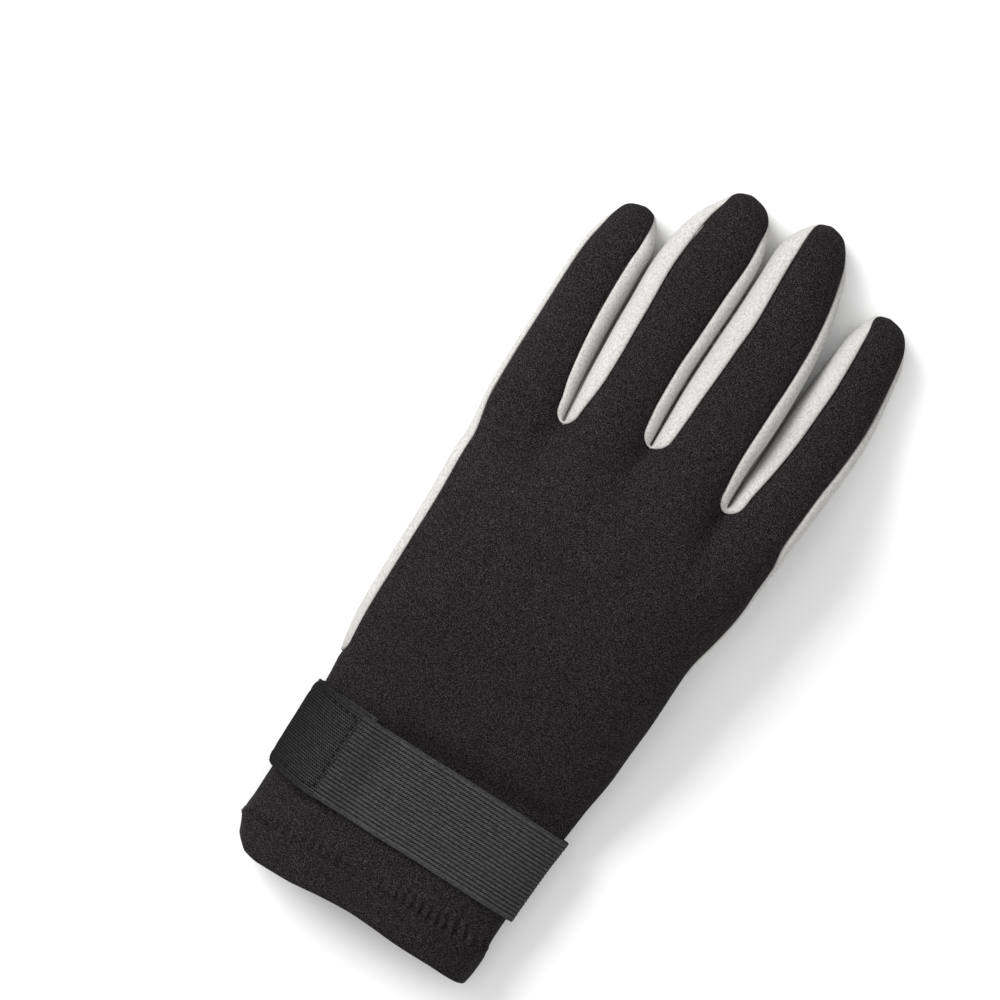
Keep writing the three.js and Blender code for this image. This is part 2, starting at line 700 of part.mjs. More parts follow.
function makeTab() {
  const tip = angleAt(tabEndX, 2 * strapStack);
  const sheet = strapSlab({
    angles: steps(angleAt(jointX), tip, 8),
    width: tabWidth,
    lift: () => strapStack,
    shift: () => 0,
  });
  const [low, high] = [strapY - tabWidth / 2, strapY + tabWidth / 2 + strapSkew];
  const outline = new THREE.Shape();
  outline.moveTo(jointX + cutMargin, low - strapSkew);
  outline.lineTo(jointX + cutMargin, high + strapSkew);
  outline.lineTo(tabEndX + tabCorner, high);
  outline.absarc(tabEndX + tabCorner, high - tabCorner, tabCorner, Math.PI / 2, Math.PI, false);
  outline.absarc(tabEndX + tabCorner, low + strapSkew + tabCorner, tabCorner, Math.PI, Math.PI * 1.5, false);
  const prism = new THREE.ExtrudeGeometry(outline, { depth: far, bevelEnabled: false, curveSegments: 6 });
  return sheet.intersect(solidFrom(prism));
}

const materials = {
  neoprene: { color: 0x232122, roughness: 0.85 },
  suede: { color: 0xc8c6c3, roughness: 0.95 },
  microfibre: { color: 0x2b2826, roughness: 0.9 },
  webbing: { color: 0x2f2f30, roughness: 0.8 },
  tab: { color: 0x272728, roughness: 0.75 },
};

function meshFrom(name, solid, finish) {
  const { vertProperties, triVerts, numProp } = whole(solid).getMesh();
  const points = [];
  for (let start = 0; start < vertProperties.length; start += numProp) {
    points.push(new THREE.Vector3(vertProperties[start], vertProperties[start + 1], vertProperties[start + 2]));
  }
  const geometry = geometryFrom(points, Array.from(triVerts));
  geometry.computeVertexNormals();
  const mesh = new THREE.Mesh(geometry, new THREE.MeshStandardMaterial({ ...materials[finish], metalness: 0 }));
  mesh.name = name;
  return mesh;
}

const thumb = makeThumb();
const patches = makePatches();
const panels = makePanels(patches.recess);

const glove = new THREE.Group();
glove.add(
  meshFrom('back_panel', panels.back, 'neoprene'),
  meshFrom('palm_panel', panels.palm, 'suede'),
  ...panels.gussets.map(({ name, solid }) => meshFrom(name, solid, 'suede')),
  meshFrom('palm_patch', patches.palm, 'microfibre'),
  ...patches.tips.map(({ name, solid }) => meshFrom(`${name}_tip_patch`, solid, 'microfibre')),
  meshFrom('thumb_back', thumb.back, 'neoprene'),
  meshFrom('thumb_front', thumb.front, 'suede'),
  meshFrom('thumb_patch', thumb.patch, 'microfibre'),
  meshFrom('wrist_cuff', panels.cuff, 'neoprene'),
  meshFrom('strap_band', makeBand(), 'webbing'),
  meshFrom('strap_tab', makeTab(), 'tab'),
);

// The origin is under the middle of the glove, on the surface it lies on.
const bounds = new THREE.Box3().setFromObject(glove);
const middle = bounds.getCenter(new THREE.Vector3());
glove.position.set(-middle.x, -middle.y, -bounds.min.z);

export default glove;
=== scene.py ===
import bisect
import functools
import math

import bmesh
import bpy
from mathutils import Matrix, Vector, noise


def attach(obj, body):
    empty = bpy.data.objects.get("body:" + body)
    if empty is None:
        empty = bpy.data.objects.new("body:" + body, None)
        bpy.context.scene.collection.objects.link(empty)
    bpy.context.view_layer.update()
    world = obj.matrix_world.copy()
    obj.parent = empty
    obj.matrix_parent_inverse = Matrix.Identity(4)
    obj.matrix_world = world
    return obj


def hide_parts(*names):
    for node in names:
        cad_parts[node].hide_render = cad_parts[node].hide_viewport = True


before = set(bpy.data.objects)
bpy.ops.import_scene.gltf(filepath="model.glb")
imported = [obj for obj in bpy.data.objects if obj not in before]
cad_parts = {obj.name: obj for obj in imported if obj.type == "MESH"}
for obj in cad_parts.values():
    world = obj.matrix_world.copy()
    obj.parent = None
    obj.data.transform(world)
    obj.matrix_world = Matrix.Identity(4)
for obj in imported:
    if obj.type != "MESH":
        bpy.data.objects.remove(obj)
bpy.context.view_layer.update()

mm = 0.001

# The glove's own sizes in millimetres, +X to the index finger and +Y to the fingertips
glove = {
    "mouthY": -114, "handLength": 166, "palmWidth": 102, "handHeight": 41,
    "handPower": 2.5, "fingerPower": 2.3, "clearance": 0.8, "restFlat": 0.8, "leastHalf": 0.2,
    "shift": (-2.056, -12.0),
}
strap = {
    "y": -74.4, "width": 29, "thick": 1.8, "skew": 2.3, "gap": 0.3,
    "tabEnd": -52.2, "tabLength": 20, "tabWidth": 30.4, "tabCorner": 3.4,
    "underReach": 3, "underShift": 1, "jointRamp": 8, "tabShift": 1.2, "slope": 3,
}
# The tab lies one stack above the band's start, which goes under it at the joint
stack = strap["thick"] + strap["gap"]
joint = strap["tabEnd"] + strap["tabLength"]
# Places of the seams and webs, and how the seams turn round a web
seams = {
    "cuffBack": -75, "cuffPalm": -46.5, "wrap": -1, "patchFoot": -20,
    "backWebs": (44, 45, 51.6, 45.9, 44), "palmWebs": (38, 34.4, 40, 42.4, 38),
    "backWebX": (-26.1, 0.0, 28.8), "palmWebX": (-25.0, 2.0, 27.7),
    "backLeft": 0.955, "handEnd": 38, "turn": 8.0, "webRise": 3.4, "fade": (-24, 5), "widest": 0.985,
    "gap": 0.3, "palmEnd": 28, "backEnd": 30,
}


def place(x, y, z):
    return Vector(((x + glove["shift"][0]) * mm, (y + glove["shift"][1]) * mm, z * mm))


def smooth(value, low, high):
    t = min(max((value - low) / (high - low), 0), 1)
    return t * t * (3 - 2 * t)


def mix(a, b, t):
    return a + (b - a) * t


# Values from start to end in that many even steps, which also sets how fine a mesh is
def spread(start, end, count):
    return [mix(start, end, i / count) for i in range(count + 1)]


def bell(value, reach):
    return math.exp(-(value / reach) ** 2)


# A smooth line through a table's values that never swings past them
def curve(xs, ys):
    steps = [(ys[i + 1] - ys[i]) / (xs[i + 1] - xs[i]) for i in range(len(xs) - 1)]
    inner = [2 * a * b / (a + b) if a * b > 0 else 0 for a, b in zip(steps, steps[1:])]
    slopes = [steps[0], *inner, steps[-1]]

    def value(x):
        x = min(max(x, xs[0]), xs[-1])
        i = min(bisect.bisect_right(xs, x) - 1, len(xs) - 2)
        span = xs[i + 1] - xs[i]
        t = (x - xs[i]) / span
        low = (1 + 2 * t) * (1 - t) ** 2 * ys[i] + t * (1 - t) ** 2 * span * slopes[i]
        return low + t * t * (3 - 2 * t) * ys[i + 1] + t * t * (t - 1) * span * slopes[i + 1]
    return value


def curves(columns, rows):
    xs = [row[0] for row in rows]
    return {name: curve(xs, [row[i + 1] for row in rows]) for i, name in enumerate(columns)}


# Hand and cuff from the mouth to the webs, as shares of the hand's length, width and height
handTable = curves(("centre", "half", "belly", "side", "crown", "palmLeft", "palmRight"), (
    (0.0, -0.075, 0.387, -0.02, 0.31, 0.66, 0.86, 0.2),
    (0.025, -0.079, 0.4, -0.02, 0.31, 0.67, 0.86, 0.2),
    (0.075, -0.083, 0.411, -0.02, 0.31, 0.67, 0.86, 0.2),
    (0.226, -0.069, 0.416, -0.02, 0.32, 0.61, 0.86, 0.2),
    (0.389, -0.05, 0.432, -0.02, 0.37, 0.67, 0.86, 0.21),
    (0.486, -0.047, 0.453, 0.0, 0.45, 0.8, 0.86, 0.25),
    (0.58, -0.038, 0.459, 0.05, 0.54, 0.91, 0.86, 0.4),
    (0.688, -0.031, 0.46, 0.12, 0.59, 0.98, 0.86, 0.9),
    (0.761, -0.015, 0.474, 0.18, 0.61, 1.0, 0.86, 0.9),
    (0.815, -0.006, 0.485, 0.22, 0.61, 1.0, 0.86, 0.9),
    (0.87, 0.0, 0.494, 0.27, 0.61, 0.97, 0.86, 0.9),
    (0.924, 0.003, 0.497, 0.34, 0.6, 0.92, 0.86, 0.9),
))

# Side profile of every finger: how far it has sunk from the folded thumb, its underside and its top
fingerProfile = curves(("drop", "belly", "crown"), (
    (0.0, 1.0, 0.1, 1.0), (0.2, 1.0, 0, 1.02), (0.3, 0.9, 0, 1.06), (0.42, 0.62, 0, 1.06),
    (0.55, 0.3, 0, 1.04), (0.68, 0.08, 0, 1.0), (0.8, 0, 0, 0.95), (0.88, 0, 0, 0.9),
    (0.94, 0, 0.01, 0.8), (0.975, 0, 0.06, 0.66), (0.993, 0, 0.17, 0.52), (1.0, 0, 0.28, 0.4),
))

# Plan of each finger, with the seams of its back and palm panels as shares of the half width
planColumns = ("shift", "half", "backLeft", "backRight", "palmLeft", "palmRight")
fingers = (
    {
        "name": "little", "length": 85.8, "width": 22.2, "thick": 18, "rise": 16, "root": (-38.1, 30),
        "patchTop": 0.54, "plan": curves(planColumns, (
            (0.0, 0.04, 0.4, 1.3, 1.5, 1.1, 1.5), (0.09, 0.01, 0.53, 0.96, 1.1, 0.85, 1.1),
            (0.175, 0.0, 0.554, 0.955, 0.92, 0.8, 0.9), (0.35, -0.014, 0.527, 0.972, 0.64, 0.6, 0.82),
            (0.524, -0.014, 0.5, 0.975, 0.54, 0.52, 0.8), (0.7, 0.0, 0.486, 0.975, 0.5, 0.52, 0.78),
            (0.804, 0.02, 0.466, 0.975, 0.5, 0.54, 0.76), (0.874, 0.054, 0.432, 0.975, 0.52, 0.56, 0.76),
            (0.927, 0.054, 0.372, 0.975, 0.62, 0.62, 0.78), (0.972, 0.047, 0.284, 0.975, 0.8, 0.72, 0.8),
            (0.993, 0.06, 0.176, 0.96, 0.9, 0.8, 0.8), (1.0, 0.068, 0.07, 0.96, 0.9, 0.8, 0.8),
        )),
    },
    {
        "name": "ring", "length": 101.7, "width": 27.6, "thick": 20, "rise": 18.4, "root": (-12.9, 33),
        "patchTop": 0.515, "plan": curves(planColumns, (
            (0.0, -0.005, 0.38, 1.4, 1.4, 1.4, 1.4), (0.18, 0.0, 0.478, 0.82, 0.82, 0.85, 0.85),
            (0.325, -0.022, 0.489, 0.6, 0.72, 0.68, 0.72), (0.44, -0.022, 0.5, 0.57, 0.71, 0.64, 0.7),
            (0.56, -0.005, 0.516, 0.58, 0.72, 0.64, 0.7), (0.68, 0.011, 0.533, 0.6, 0.72, 0.64, 0.7),
            (0.8, 0.054, 0.505, 0.64, 0.76, 0.66, 0.72), (0.9, 0.09, 0.408, 0.74, 0.84, 0.7, 0.76),
            (0.944, 0.12, 0.337, 0.82, 0.9, 0.76, 0.8), (0.976, 0.11, 0.25, 0.94, 0.96, 0.8, 0.82),
            (0.993, 0.1, 0.158, 0.96, 0.96, 0.82, 0.82), (1.0, 0.09, 0.06, 0.96, 0.96, 0.82, 0.82),
        )),
    },
    {
        "name": "middle", "length": 104.1, "width": 29.4, "thick": 21, "rise": 18.6, "root": (15, 34.5),
        "patchTop": 0.52, "tipPatch": (0.71, 0.957), "plan": curves(planColumns, (
            (0.0, -0.01, 0.38, 1.4, 1.4, 1.4, 1.4), (0.16, -0.015, 0.495, 0.8, 0.86, 0.82, 0.88),
            (0.25, -0.008, 0.498, 0.68, 0.78, 0.72, 0.84), (0.39, 0.02, 0.52, 0.61, 0.73, 0.68, 0.82),
            (0.535, 0.046, 0.515, 0.56, 0.76, 0.68, 0.82), (0.65, 0.056, 0.495, 0.52, 0.8, 0.68, 0.82),
            (0.764, 0.036, 0.454, 0.52, 0.88, 0.7, 0.82), (0.88, 0.0, 0.388, 0.5, 0.96, 0.72, 0.82),
            (0.922, -0.005, 0.342, 0.56, 0.97, 0.74, 0.82), (0.96, 0.0, 0.265, 0.7, 0.97, 0.78, 0.82),
            (0.992, 0.005, 0.15, 0.9, 0.97, 0.8, 0.82), (1.0, 0.0, 0.05, 0.9, 0.97, 0.8, 0.82),
        )),
    },
    {
        "name": "index", "length": 94.8, "width": 25.2, "thick": 20, "rise": 16.5, "root": (42.6, 28.5),
        "patchTop": 0.47, "tipPatch": (0.67, 0.965), "plan": curves(planColumns, (
            (0.0, -0.14, 0.33, 1.5, 1.4, 1.5, 1.2), (0.09, -0.1, 0.43, 1.1, 1.1, 1.1, 0.95),
            (0.18, -0.083, 0.452, 0.78, 0.86, 0.82, 0.8), (0.3, -0.042, 0.482, 0.62, 0.8, 0.78, 0.7),
            (0.4, 0.0, 0.488, 0.52, 0.79, 0.76, 0.67), (0.49, 0.036, 0.5, 0.46, 0.82, 0.76, 0.67),
            (0.585, 0.06, 0.5, 0.42, 0.87, 0.76, 0.67), (0.71, 0.081, 0.462, 0.4, 0.94, 0.76, 0.68),
            (0.79, 0.083, 0.429, 0.42, 0.97, 0.76, 0.7), (0.87, 0.093, 0.39, 0.5, 0.98, 0.78, 0.72),
            (0.934, 0.089, 0.339, 0.6, 0.98, 0.8, 0.76), (0.975, 0.077, 0.256, 0.82, 0.98, 0.82, 0.8),
            (0.994, 0.065, 0.161, 0.9, 0.98, 0.82, 0.8), (1.0, 0.06, 0.05, 0.9, 0.98, 0.82, 0.8),
        )),
    },
)

thumb = {
    "length": 88, "width": 33, "thick": 16.5, "tip": (1, 54), "lean": math.radians(28),
    "clearance": 1.2, "rise": (0.1, 0.33), "hollow": 0.75, "slope": 0.5, "top": 1.02, "seam": 0.34,
}
thumbTable = curves(("aside", "half", "belly", "crown"), (
    (0.0, -0.74, 0.5, 0, 0.95), (0.12, -0.53, 0.52, 0, 1.0), (0.25, -0.33, 0.53, 0, 1.02),
    (0.4, -0.15, 0.53, 0, 1.02), (0.55, -0.05, 0.51, 0, 1.0), (0.7, 0.0, 0.48, 0, 0.98),
    (0.82, 0.0, 0.44, 0, 0.94), (0.9, 0.0, 0.38, 0, 0.87), (0.95, 0.0, 0.3, 0.03, 0.77),
    (0.985, 0.0, 0.18, 0.13, 0.6), (1.0, 0.0, 0.05, 0.26, 0.44),
))


def power(value, exponent):
    return math.copysign(abs(value) ** exponent, value)


# The share of the width that is left in a round end, which narrows from start and closes after length
def roundEnd(value, start, length, exponent=2, least=0):
    return math.sqrt(max(1 - max((value - start) / length, 0) ** exponent, least))


# How far out and up a rounded section is at an angle, as shares of its half width and height
def outAndUp(angle, exponent):
    return power(math.cos(angle), 2 / exponent), power(math.sin(angle), 2 / exponent)


# The angle at which a rounded section is that share of its half width out
def angleOf(share, exponent):
    return math.acos(power(min(max(share, -1), 1), exponent / 2))


@functools.lru_cache(None)
def handAt(y):
    s = (min(y, seams["handEnd"]) - glove["mouthY"]) / glove["handLength"]
    row = {name: line(s) for name, line in handTable.items()}
    side = row["side"] * glove["handHeight"]
    return {
        "centre": row["centre"] * glove["palmWidth"], "half": row["half"] * glove["palmWidth"],
        "side": side, "rise": row["crown"] * glove["handHeight"] - side,
        "fall": side - row["belly"] * glove["handHeight"],
        "palmLeft": row["palmLeft"], "palmRight": row["palmRight"],
    }


def thumbCentre(share):
    along = (share - 1) * thumb["length"]
    aside = thumbTable["aside"](share) * thumb["width"]
    c, s = math.cos(thumb["lean"]), math.sin(thumb["lean"])
    return thumb["tip"][0] - s * along + c * aside, thumb["tip"][1] + c * along + s * aside


thumbMiddle = [(share, thumbCentre(share)) for share in spread(0, 1, 16)]


# The hollow that the folded thumb presses into the palm
def hollow(x, y):
    away, share = min((math.hypot(x - p[0], y - p[1]), share) for share, p in thumbMiddle)
    half = thumbTable["half"](share) * thumb["width"] * thumb["hollow"]
    top = thumb["thick"] * thumb["top"] + thumb["clearance"]
    return top * (1 - smooth(away, half, half + thumb["width"] * thumb["slope"])) * smooth(share, *thumb["rise"])


# How high the underside lies, so that the strap fits between it and the floor
def restHeight(y):
    reach = strap["width"] / 2 + strap["skew"] + strap["underShift"]
    return stack * (1 - smooth(abs(y - strap["y"]), reach, reach + strap["slope"]))


# A point of the hand's section, moved out. It stays above the floor, the strap and the thumb by as much as the
# point is moved in, or else that much below it.
def handPoint(y, angle, out=0.0, under=None):
    row = handAt(round(y, 3))
    aside, up = outAndUp(angle, glove["handPower"])
    x = row["centre"] + (row["half"] + out) * aside
    z = row["side"] + (row["rise" if up > 0 else "fall"] + out) * up
    below = min(out, 0) if under is None else under
    floor = max(restHeight(y), hollow(x, y) if up < 0 else 0) - below
    return Vector((x, y, max(z, floor)))


# Where the seams close round a fingertip, as shares of the finger's length
tipSeams = {"back": (0.984, 0.0155), "palm": (0.93, 0.055), "widest": 0.975}


@functools.lru_cache(None)
def fingerAt(k, y):
    finger = fingers[k]
    share = min(max((y - finger["root"][1]) / finger["length"], 0), 1)
    plan = {name: line(share) for name, line in finger["plan"].items()}
    form = {name: line(share) for name, line in fingerProfile.items()}
    ground = finger["rise"] * form["drop"] - glove["restFlat"]
    low, high = ground + form["belly"] * finger["thick"], ground + form["crown"] * finger["thick"]
    angles = {}
    for panel in ("back", "palm"):
        end = roundEnd(share, *tipSeams[panel])
        for name in (panel + "Left", panel + "Right"):
            angles[name] = angleOf(min(plan[name], tipSeams["widest"]) * end, glove["fingerPower"])
    return {
        "x": finger["root"][0] + plan["shift"] * finger["width"],
        "half": plan["half"] * finger["width"] - glove["clearance"] / 2,
        "middle": (low + high) / 2, "rise": (high - low) / 2, "share": share, **angles,
    }


def fingerPoint(k, y, angle, out=0.0):
    row = fingerAt(k, round(y, 3))
    aside, up = outAndUp(angle, glove["fingerPower"])
    x = row["x"] + max(row["half"] + out, glove["leastHalf"]) * aside
    z = row["middle"] + max(row["rise"] + out, glove["leastHalf"]) * up
    return Vector((x, y, max(z, -min(out, 0))))


# Where a seam runs on a finger. Near a web it turns in a round end, so that the side strip passes round it.
@functools.lru_cache(None)
def seamAngle(k, name, y):
    row = fingerAt(k, y)
    isBack, isRight = name.startswith("back"), name.endswith("Right")
    j = k + 1 if isRight else k
    t = (y - seams["backWebs" if isBack else "palmWebs"][j]) / seams["turn"]
    if j in (0, 4) or t >= 1:
        return row[name]
    side = 1 if isRight else -1
    webX = seams["backWebX" if isBack else "palmWebX"][j - 1]
    far = fingerAt(k, round(y + (1 - t) * seams["turn"], 3))
    edge = far["x"] + side * far["half"] * outAndUp(far[name], glove["fingerPower"])[0]
    x = webX + (edge - webX) * roundEnd(1 - max(t, 0), 0, 1)
    return angleOf(min((x - row["x"]) / row["half"] * side, seams["widest"]), glove["fingerPower"])


def thumbPoint(share, angle, out=0.0):
    form = {name: line(share) for name, line in thumbTable.items()}
    x, y = thumbCentre(share)
    low = form["belly"] * thumb["thick"] - glove["restFlat"]
    high = form["crown"] * thumb["thick"] - glove["restFlat"]
    aside, up = outAndUp(angle, glove["fingerPower"])
    aside *= max(form["half"] * thumb["width"] + out, glove["leastHalf"])
    z = (low + high) / 2 + ((high - low) / 2 + out) * up
    c, s = math.cos(thumb["lean"]), math.sin(thumb["lean"])
    return Vector((x + aside * c, y + aside * s, max(z, -min(out, 0))))


# Long and short swells of stuffed cloth on all that lies above a height: depth, lengths along the axes, start
swell = {"above": 12, "long": (0.45, (26, 31, 24), (0, 0, 3.1)), "short": (0.135, (9, 12, 9), (7.7, 0, 0))}


def swollen(point):
    if point.z <= swell["above"]:
        return point
    lift = 0
    for depth, sizes, start in (swell["long"], swell["short"]):
        lift += depth * noise.noise(Vector([p / size + s for p, size, s in zip(point, sizes, start)]))
    return point + Vector((0, 0, lift))


# A point of the cloth. Towards a web the hand's own section fades into the finger's.
def skin(k, y, web, handAngle, fingerAngle, out=0.0):
    share = smooth(y, web + seams["fade"][0], web + seams["fade"][1])
    if share <= 0:
        point = handPoint(y, handAngle, out)
    elif share >= 1:
        point = fingerPoint(k, y, fingerAngle, out)
    else:
        point = handPoint(y, handAngle, out).lerp(fingerPoint(k, y, fingerAngle, out), share)
    return swollen(point)


# Where the four fingers' parts meet across the hand: from these shares at the wrist to the webs' own places
groups = {"shares": (0.26, 0.5, 0.74), "span": (-60, 32), "indexLift": 0.25, "liftSpan": (28, 46)}


# Where such a part's edge runs over the hand, as an angle on the hand's section
def handEdge(k, y, isBack):
    row = handAt(round(y, 3))
    webs = seams["backWebX" if isBack else "palmWebX"]
    end = handAt(seams["handEnd"])
    if isBack:
        left, right = (-1.0 if y < seams["cuffPalm"] + 1 else -seams["backLeft"]), 1.0
        span = (-seams["backLeft"], 1)
    else:
        left, right = -row["palmLeft"], row["palmRight"]
        span = (-end["palmLeft"], end["palmRight"])
    if k == 0:
        return angleOf(left, glove["handPower"])
    if k == 4 and isBack:
        return groups["indexLift"] * smooth(y, *groups["liftSpan"])
    if k == 4:
        return angleOf(right, glove["handPower"])
    at = (webs[k - 1] - end["centre"]) / end["half"]
    share = mix(groups["shares"][k - 1], (at - span[0]) / (span[1] - span[0]), smooth(y, *groups["span"]))
    return angleOf(mix(left, right, share), glove["handPower"])


# The cloth is drawn in where it is sewn
pinch = {"depth": 0.4, "reach": 0.13, "start": 3, "tip": (0.84, 0.93)}


# A point of the back or the palm. c runs over the finger's part from left to right, as seen from above for the
# back and from below for the palm.
def panelPoint(k, c, y, isBack, out=0.0):
    webs = seams["backWebs"] if isBack else seams["palmWebs"]
    at = round(y, 3)
    if isBack:
        hand = mix(handEdge(k, y, True), handEdge(k + 1, y, True), c)
        finger = mix(math.pi - seamAngle(k, "backLeft", at), seamAngle(k, "backRight", at), c)
        web = mix(webs[k], webs[k + 1], c)
    else:
        hand = -mix(handEdge(k + 1, y, False), handEdge(k, y, False), c)
        finger = mix(-seamAngle(k, "palmRight", at), seamAngle(k, "palmLeft", at) - math.pi, c)
        web = mix(webs[k + 1], webs[k], c)
    drawn = pinch["depth"] * (1 - smooth(min(c, 1 - c), 0, pinch["reach"])) * smooth(y, web, web + pinch["start"])
    drawn *= 1 - smooth(fingerAt(k, at)["share"], *pinch["tip"])
    return skin(k, y, web, hand, finger, out - drawn)


# The mesh's columns across one finger's part, and its rows close to the tip
across = (0, 0.05, 0.15, 0.3, 0.5, 0.7, 0.85, 0.95, 1)
tipStart, tipShares = 0.88, (0.9, 0.92, 0.94, 0.957, 0.97, 0.98, 0.987, 0.992, 0.996, 0.9985)


# Places along a finger from its web to its tip, closer together towards the tip
def fingerStations(k, web, last=1.0, count=22):
    finger = fingers[k]

    def at(share):
        return finger["root"][1] + share * finger["length"]
    stations = spread(web, at(min(tipStart, last)), count)
    if last > tipStart:
        stations += [at(share) for share in tipShares if share < last] + [at(last)]
    return stations


def sheetInto(bm, rows):
    made = bmesh.ops.create_grid(bm, x_segments=len(rows[0]) - 1, y_segments=len(rows) - 1, size=1)["verts"]
    for vert, point in zip(made, [point for row in rows for point in row]):
        vert.co = place(*point)


# The hand's part of the back or palm, then each finger's, meeting in one row through the webs. The cloth is
# moved out by out(y, at), where at counts the fingers' widths from the little finger's edge.
def combInto(bm, isBack, stations, out, ends, count=22):
    webs = seams["backWebs"] if isBack else seams["palmWebs"]
    order = range(4) if isBack else range(3, -1, -1)

    def line(k, heightAt):
        start, end = (webs[k], webs[k + 1]) if isBack else (webs[k + 1], webs[k])
        heights = [heightAt(mix(start, end, c)) for c in across]
        return [panelPoint(k, c, y, isBack, out(y, k + c)) for c, y in zip(across, heights)]

    levels = [lambda web, y=y: y for y in stations]
    levels += [lambda web, t=t: mix(stations[-1], web, t) for t in spread(0, 1, 7)[1:]]
    rows = []
    for level in levels:
        lines = [line(k, level) for k in order]
        for left, right in zip(lines, lines[1:]):
            left[-1] = right[0] = (left[-1] + right[0]) / 2
        rows.append(lines)
    for i in range(4):
        sheetInto(bm, [lines[i] for lines in rows])
    for i, k in enumerate(order):
        ys = fingerStations(k, max(webs[k], webs[k + 1]), ends[k], count)
        shares = [(y - ys[0]) / (ys[-1] - ys[0]) for y in ys[1:]]
        sheetInto(bm, [rows[-1][i]] + [line(k, lambda web: mix(web, ys[-1], share)) for share in shares])


# Points nearer than this in millimetres are one
weldReach = 0.02


def addObject(name, data):
    made = bpy.data.objects.new(name, data)
    bpy.context.scene.collection.objects.link(made)
    return made


def addPiece(name, bm, material, wall=0.0, levels=1, nodes=()):
    mesh = bpy.data.meshes.new(name)
    bm.to_mesh(mesh)
    bm.free()
    mesh.shade_smooth()
    mesh.materials.append(material)
    piece = addObject(name, mesh)
    if wall:
        thick = piece.modifiers.new("wall", "SOLIDIFY")
        thick.thickness, thick.offset = wall * mm, -1
        thick.use_even_offset = False
    if levels:
        fine = piece.modifiers.new("smooth", "SUBSURF")
        fine.levels = fine.render_levels = levels
    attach(piece, "root")
    if nodes:
        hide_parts(*nodes)
    print("made", name, len(mesh.polygons))


# Closes the seams between a panel's sheets, evens the cloth and makes it a piece in a CAD solid's place
def sewn(name, bm, cloth, node, rounds=0, strength=0.5, wall=0):
    bmesh.ops.remove_doubles(bm, verts=bm.verts, dist=weldReach * mm)
    bmesh.ops.dissolve_degenerate(bm, edges=bm.edges, dist=weldReach * mm)
    inner = [vert for vert in bm.verts if not vert.is_boundary]
    axes = {"use_axis_x": True, "use_axis_y": True, "use_axis_z": True}
    for _ in range(rounds):
        bmesh.ops.smooth_vert(bm, verts=inner, factor=strength, **axes)
    material, thick = cloths[cloth]
    addPiece(name, bm, material, wall or thick, nodes=[node])


# Materials: colour, gloss and grain come from patterns on the object's own coordinates
class Nodes:
    def __init__(self, name, rough, specular, sheen=0.0):
        self.material = bpy.data.materials.new(name)
        self.material.use_nodes = True
        self.tree = self.material.node_tree
        self.shader = self.tree.nodes["Principled BSDF"]
        values = {"Roughness": rough, "Specular IOR Level": specular, "Sheen Weight": sheen, "Sheen Roughness": 0.5}
        for socket, value in values.items():
            self.shader.inputs[socket].default_value = value
        self.place = self.add("ShaderNodeTexCoord").outputs["Object"]
        self.height = None

    # Links another node's output, or sets a plain value
    def feed(self, socket, value):
        if isinstance(value, bpy.types.NodeSocket):
            self.tree.links.new(value, socket)
        else:
            socket.default_value = value

    def add(self, kind, **inputs):
        node = self.tree.nodes.new(kind)
        for name, value in inputs.items():
            self.feed(node.inputs[name.replace("_", " ")], value)
        return node

    def grain(self, scale, detail, stretch=(1, 1, 1), turn=0.0):
        mapped = self.add("ShaderNodeMapping", Vector=self.place, Scale=stretch, Rotation=(0, 0, turn))
        pattern = self.add("ShaderNodeTexNoise", Vector=mapped.outputs[0], Scale=scale, Detail=detail)
        return pattern.outputs["Fac"]

    # Each stop is a place and a colour, or one number for a grey
    def ramp(self, value, *stops):
        node = self.add("ShaderNodeValToRGB", Fac=value)
        for at, colour in stops[2:]:
            node.color_ramp.elements.new(at)
        for element, (at, colour) in zip(node.color_ramp.elements, stops):
            colour = colour if isinstance(colour, tuple) else (colour,) * 3
            element.position, element.color = at, (*colour, 1)
        return node.outputs["Color"]

    def blend(self, a, b, fac, kind="MIX"):
        node = self.add("ShaderNodeMix")
        node.data_type, node.blend_type = "RGBA", kind
        for i, value in ((0, fac), (6, a), (7, b)):
            self.feed(node.inputs[i], (*value, 1) if isinstance(value, tuple) else value)
        return node.outputs[2]

    def bump(self, height, depth, strength):
        node = self.add("ShaderNodeBump", Height=height, Distance=depth * mm, Strength=strength)
        if self.height:
            self.tree.links.new(self.height, node.inputs["Normal"])
        self.height = node.outputs["Normal"]

    def finish(self, colour, roughness=None):
        self.tree.links.new(colour, self.shader.inputs["Base Color"])
        if roughness:
            self.tree.links.new(roughness, self.shader.inputs["Roughness"])
        if self.height:
            self.tree.links.new(self.height, self.shader.inputs["Normal"])
        return self.material


# Colours are linear, and the depths of the grain are in millimetres
neopreneLook = {
    "dark": (0.0016, 0.0013, 0.0014), "middle": (0.0125, 0.0108, 0.0114), "light": (0.040, 0.0352, 0.037),
    "patch": (0.0115, 0.0099, 0.0105), "fleckSize": 3400, "grain": 0.1, "foam": 0.06,
}
suedeLook = {
    "dark": (0.322, 0.312, 0.299), "light": (0.478, 0.467, 0.451), "cloud": (0.414, 0.404, 0.390),
    "fuzzSize": 1700, "tuftSize": 950, "nap": 0.18, "tuft": 0.16,
}
microfibreLook = {
    "dark": (0.008, 0.0065, 0.006), "light": (0.045, 0.038, 0.034), "rubbed": (0.021, 0.017, 0.015),
    "fuzzSize": 1500, "nap": 0.2, "crease": 0.22,
}
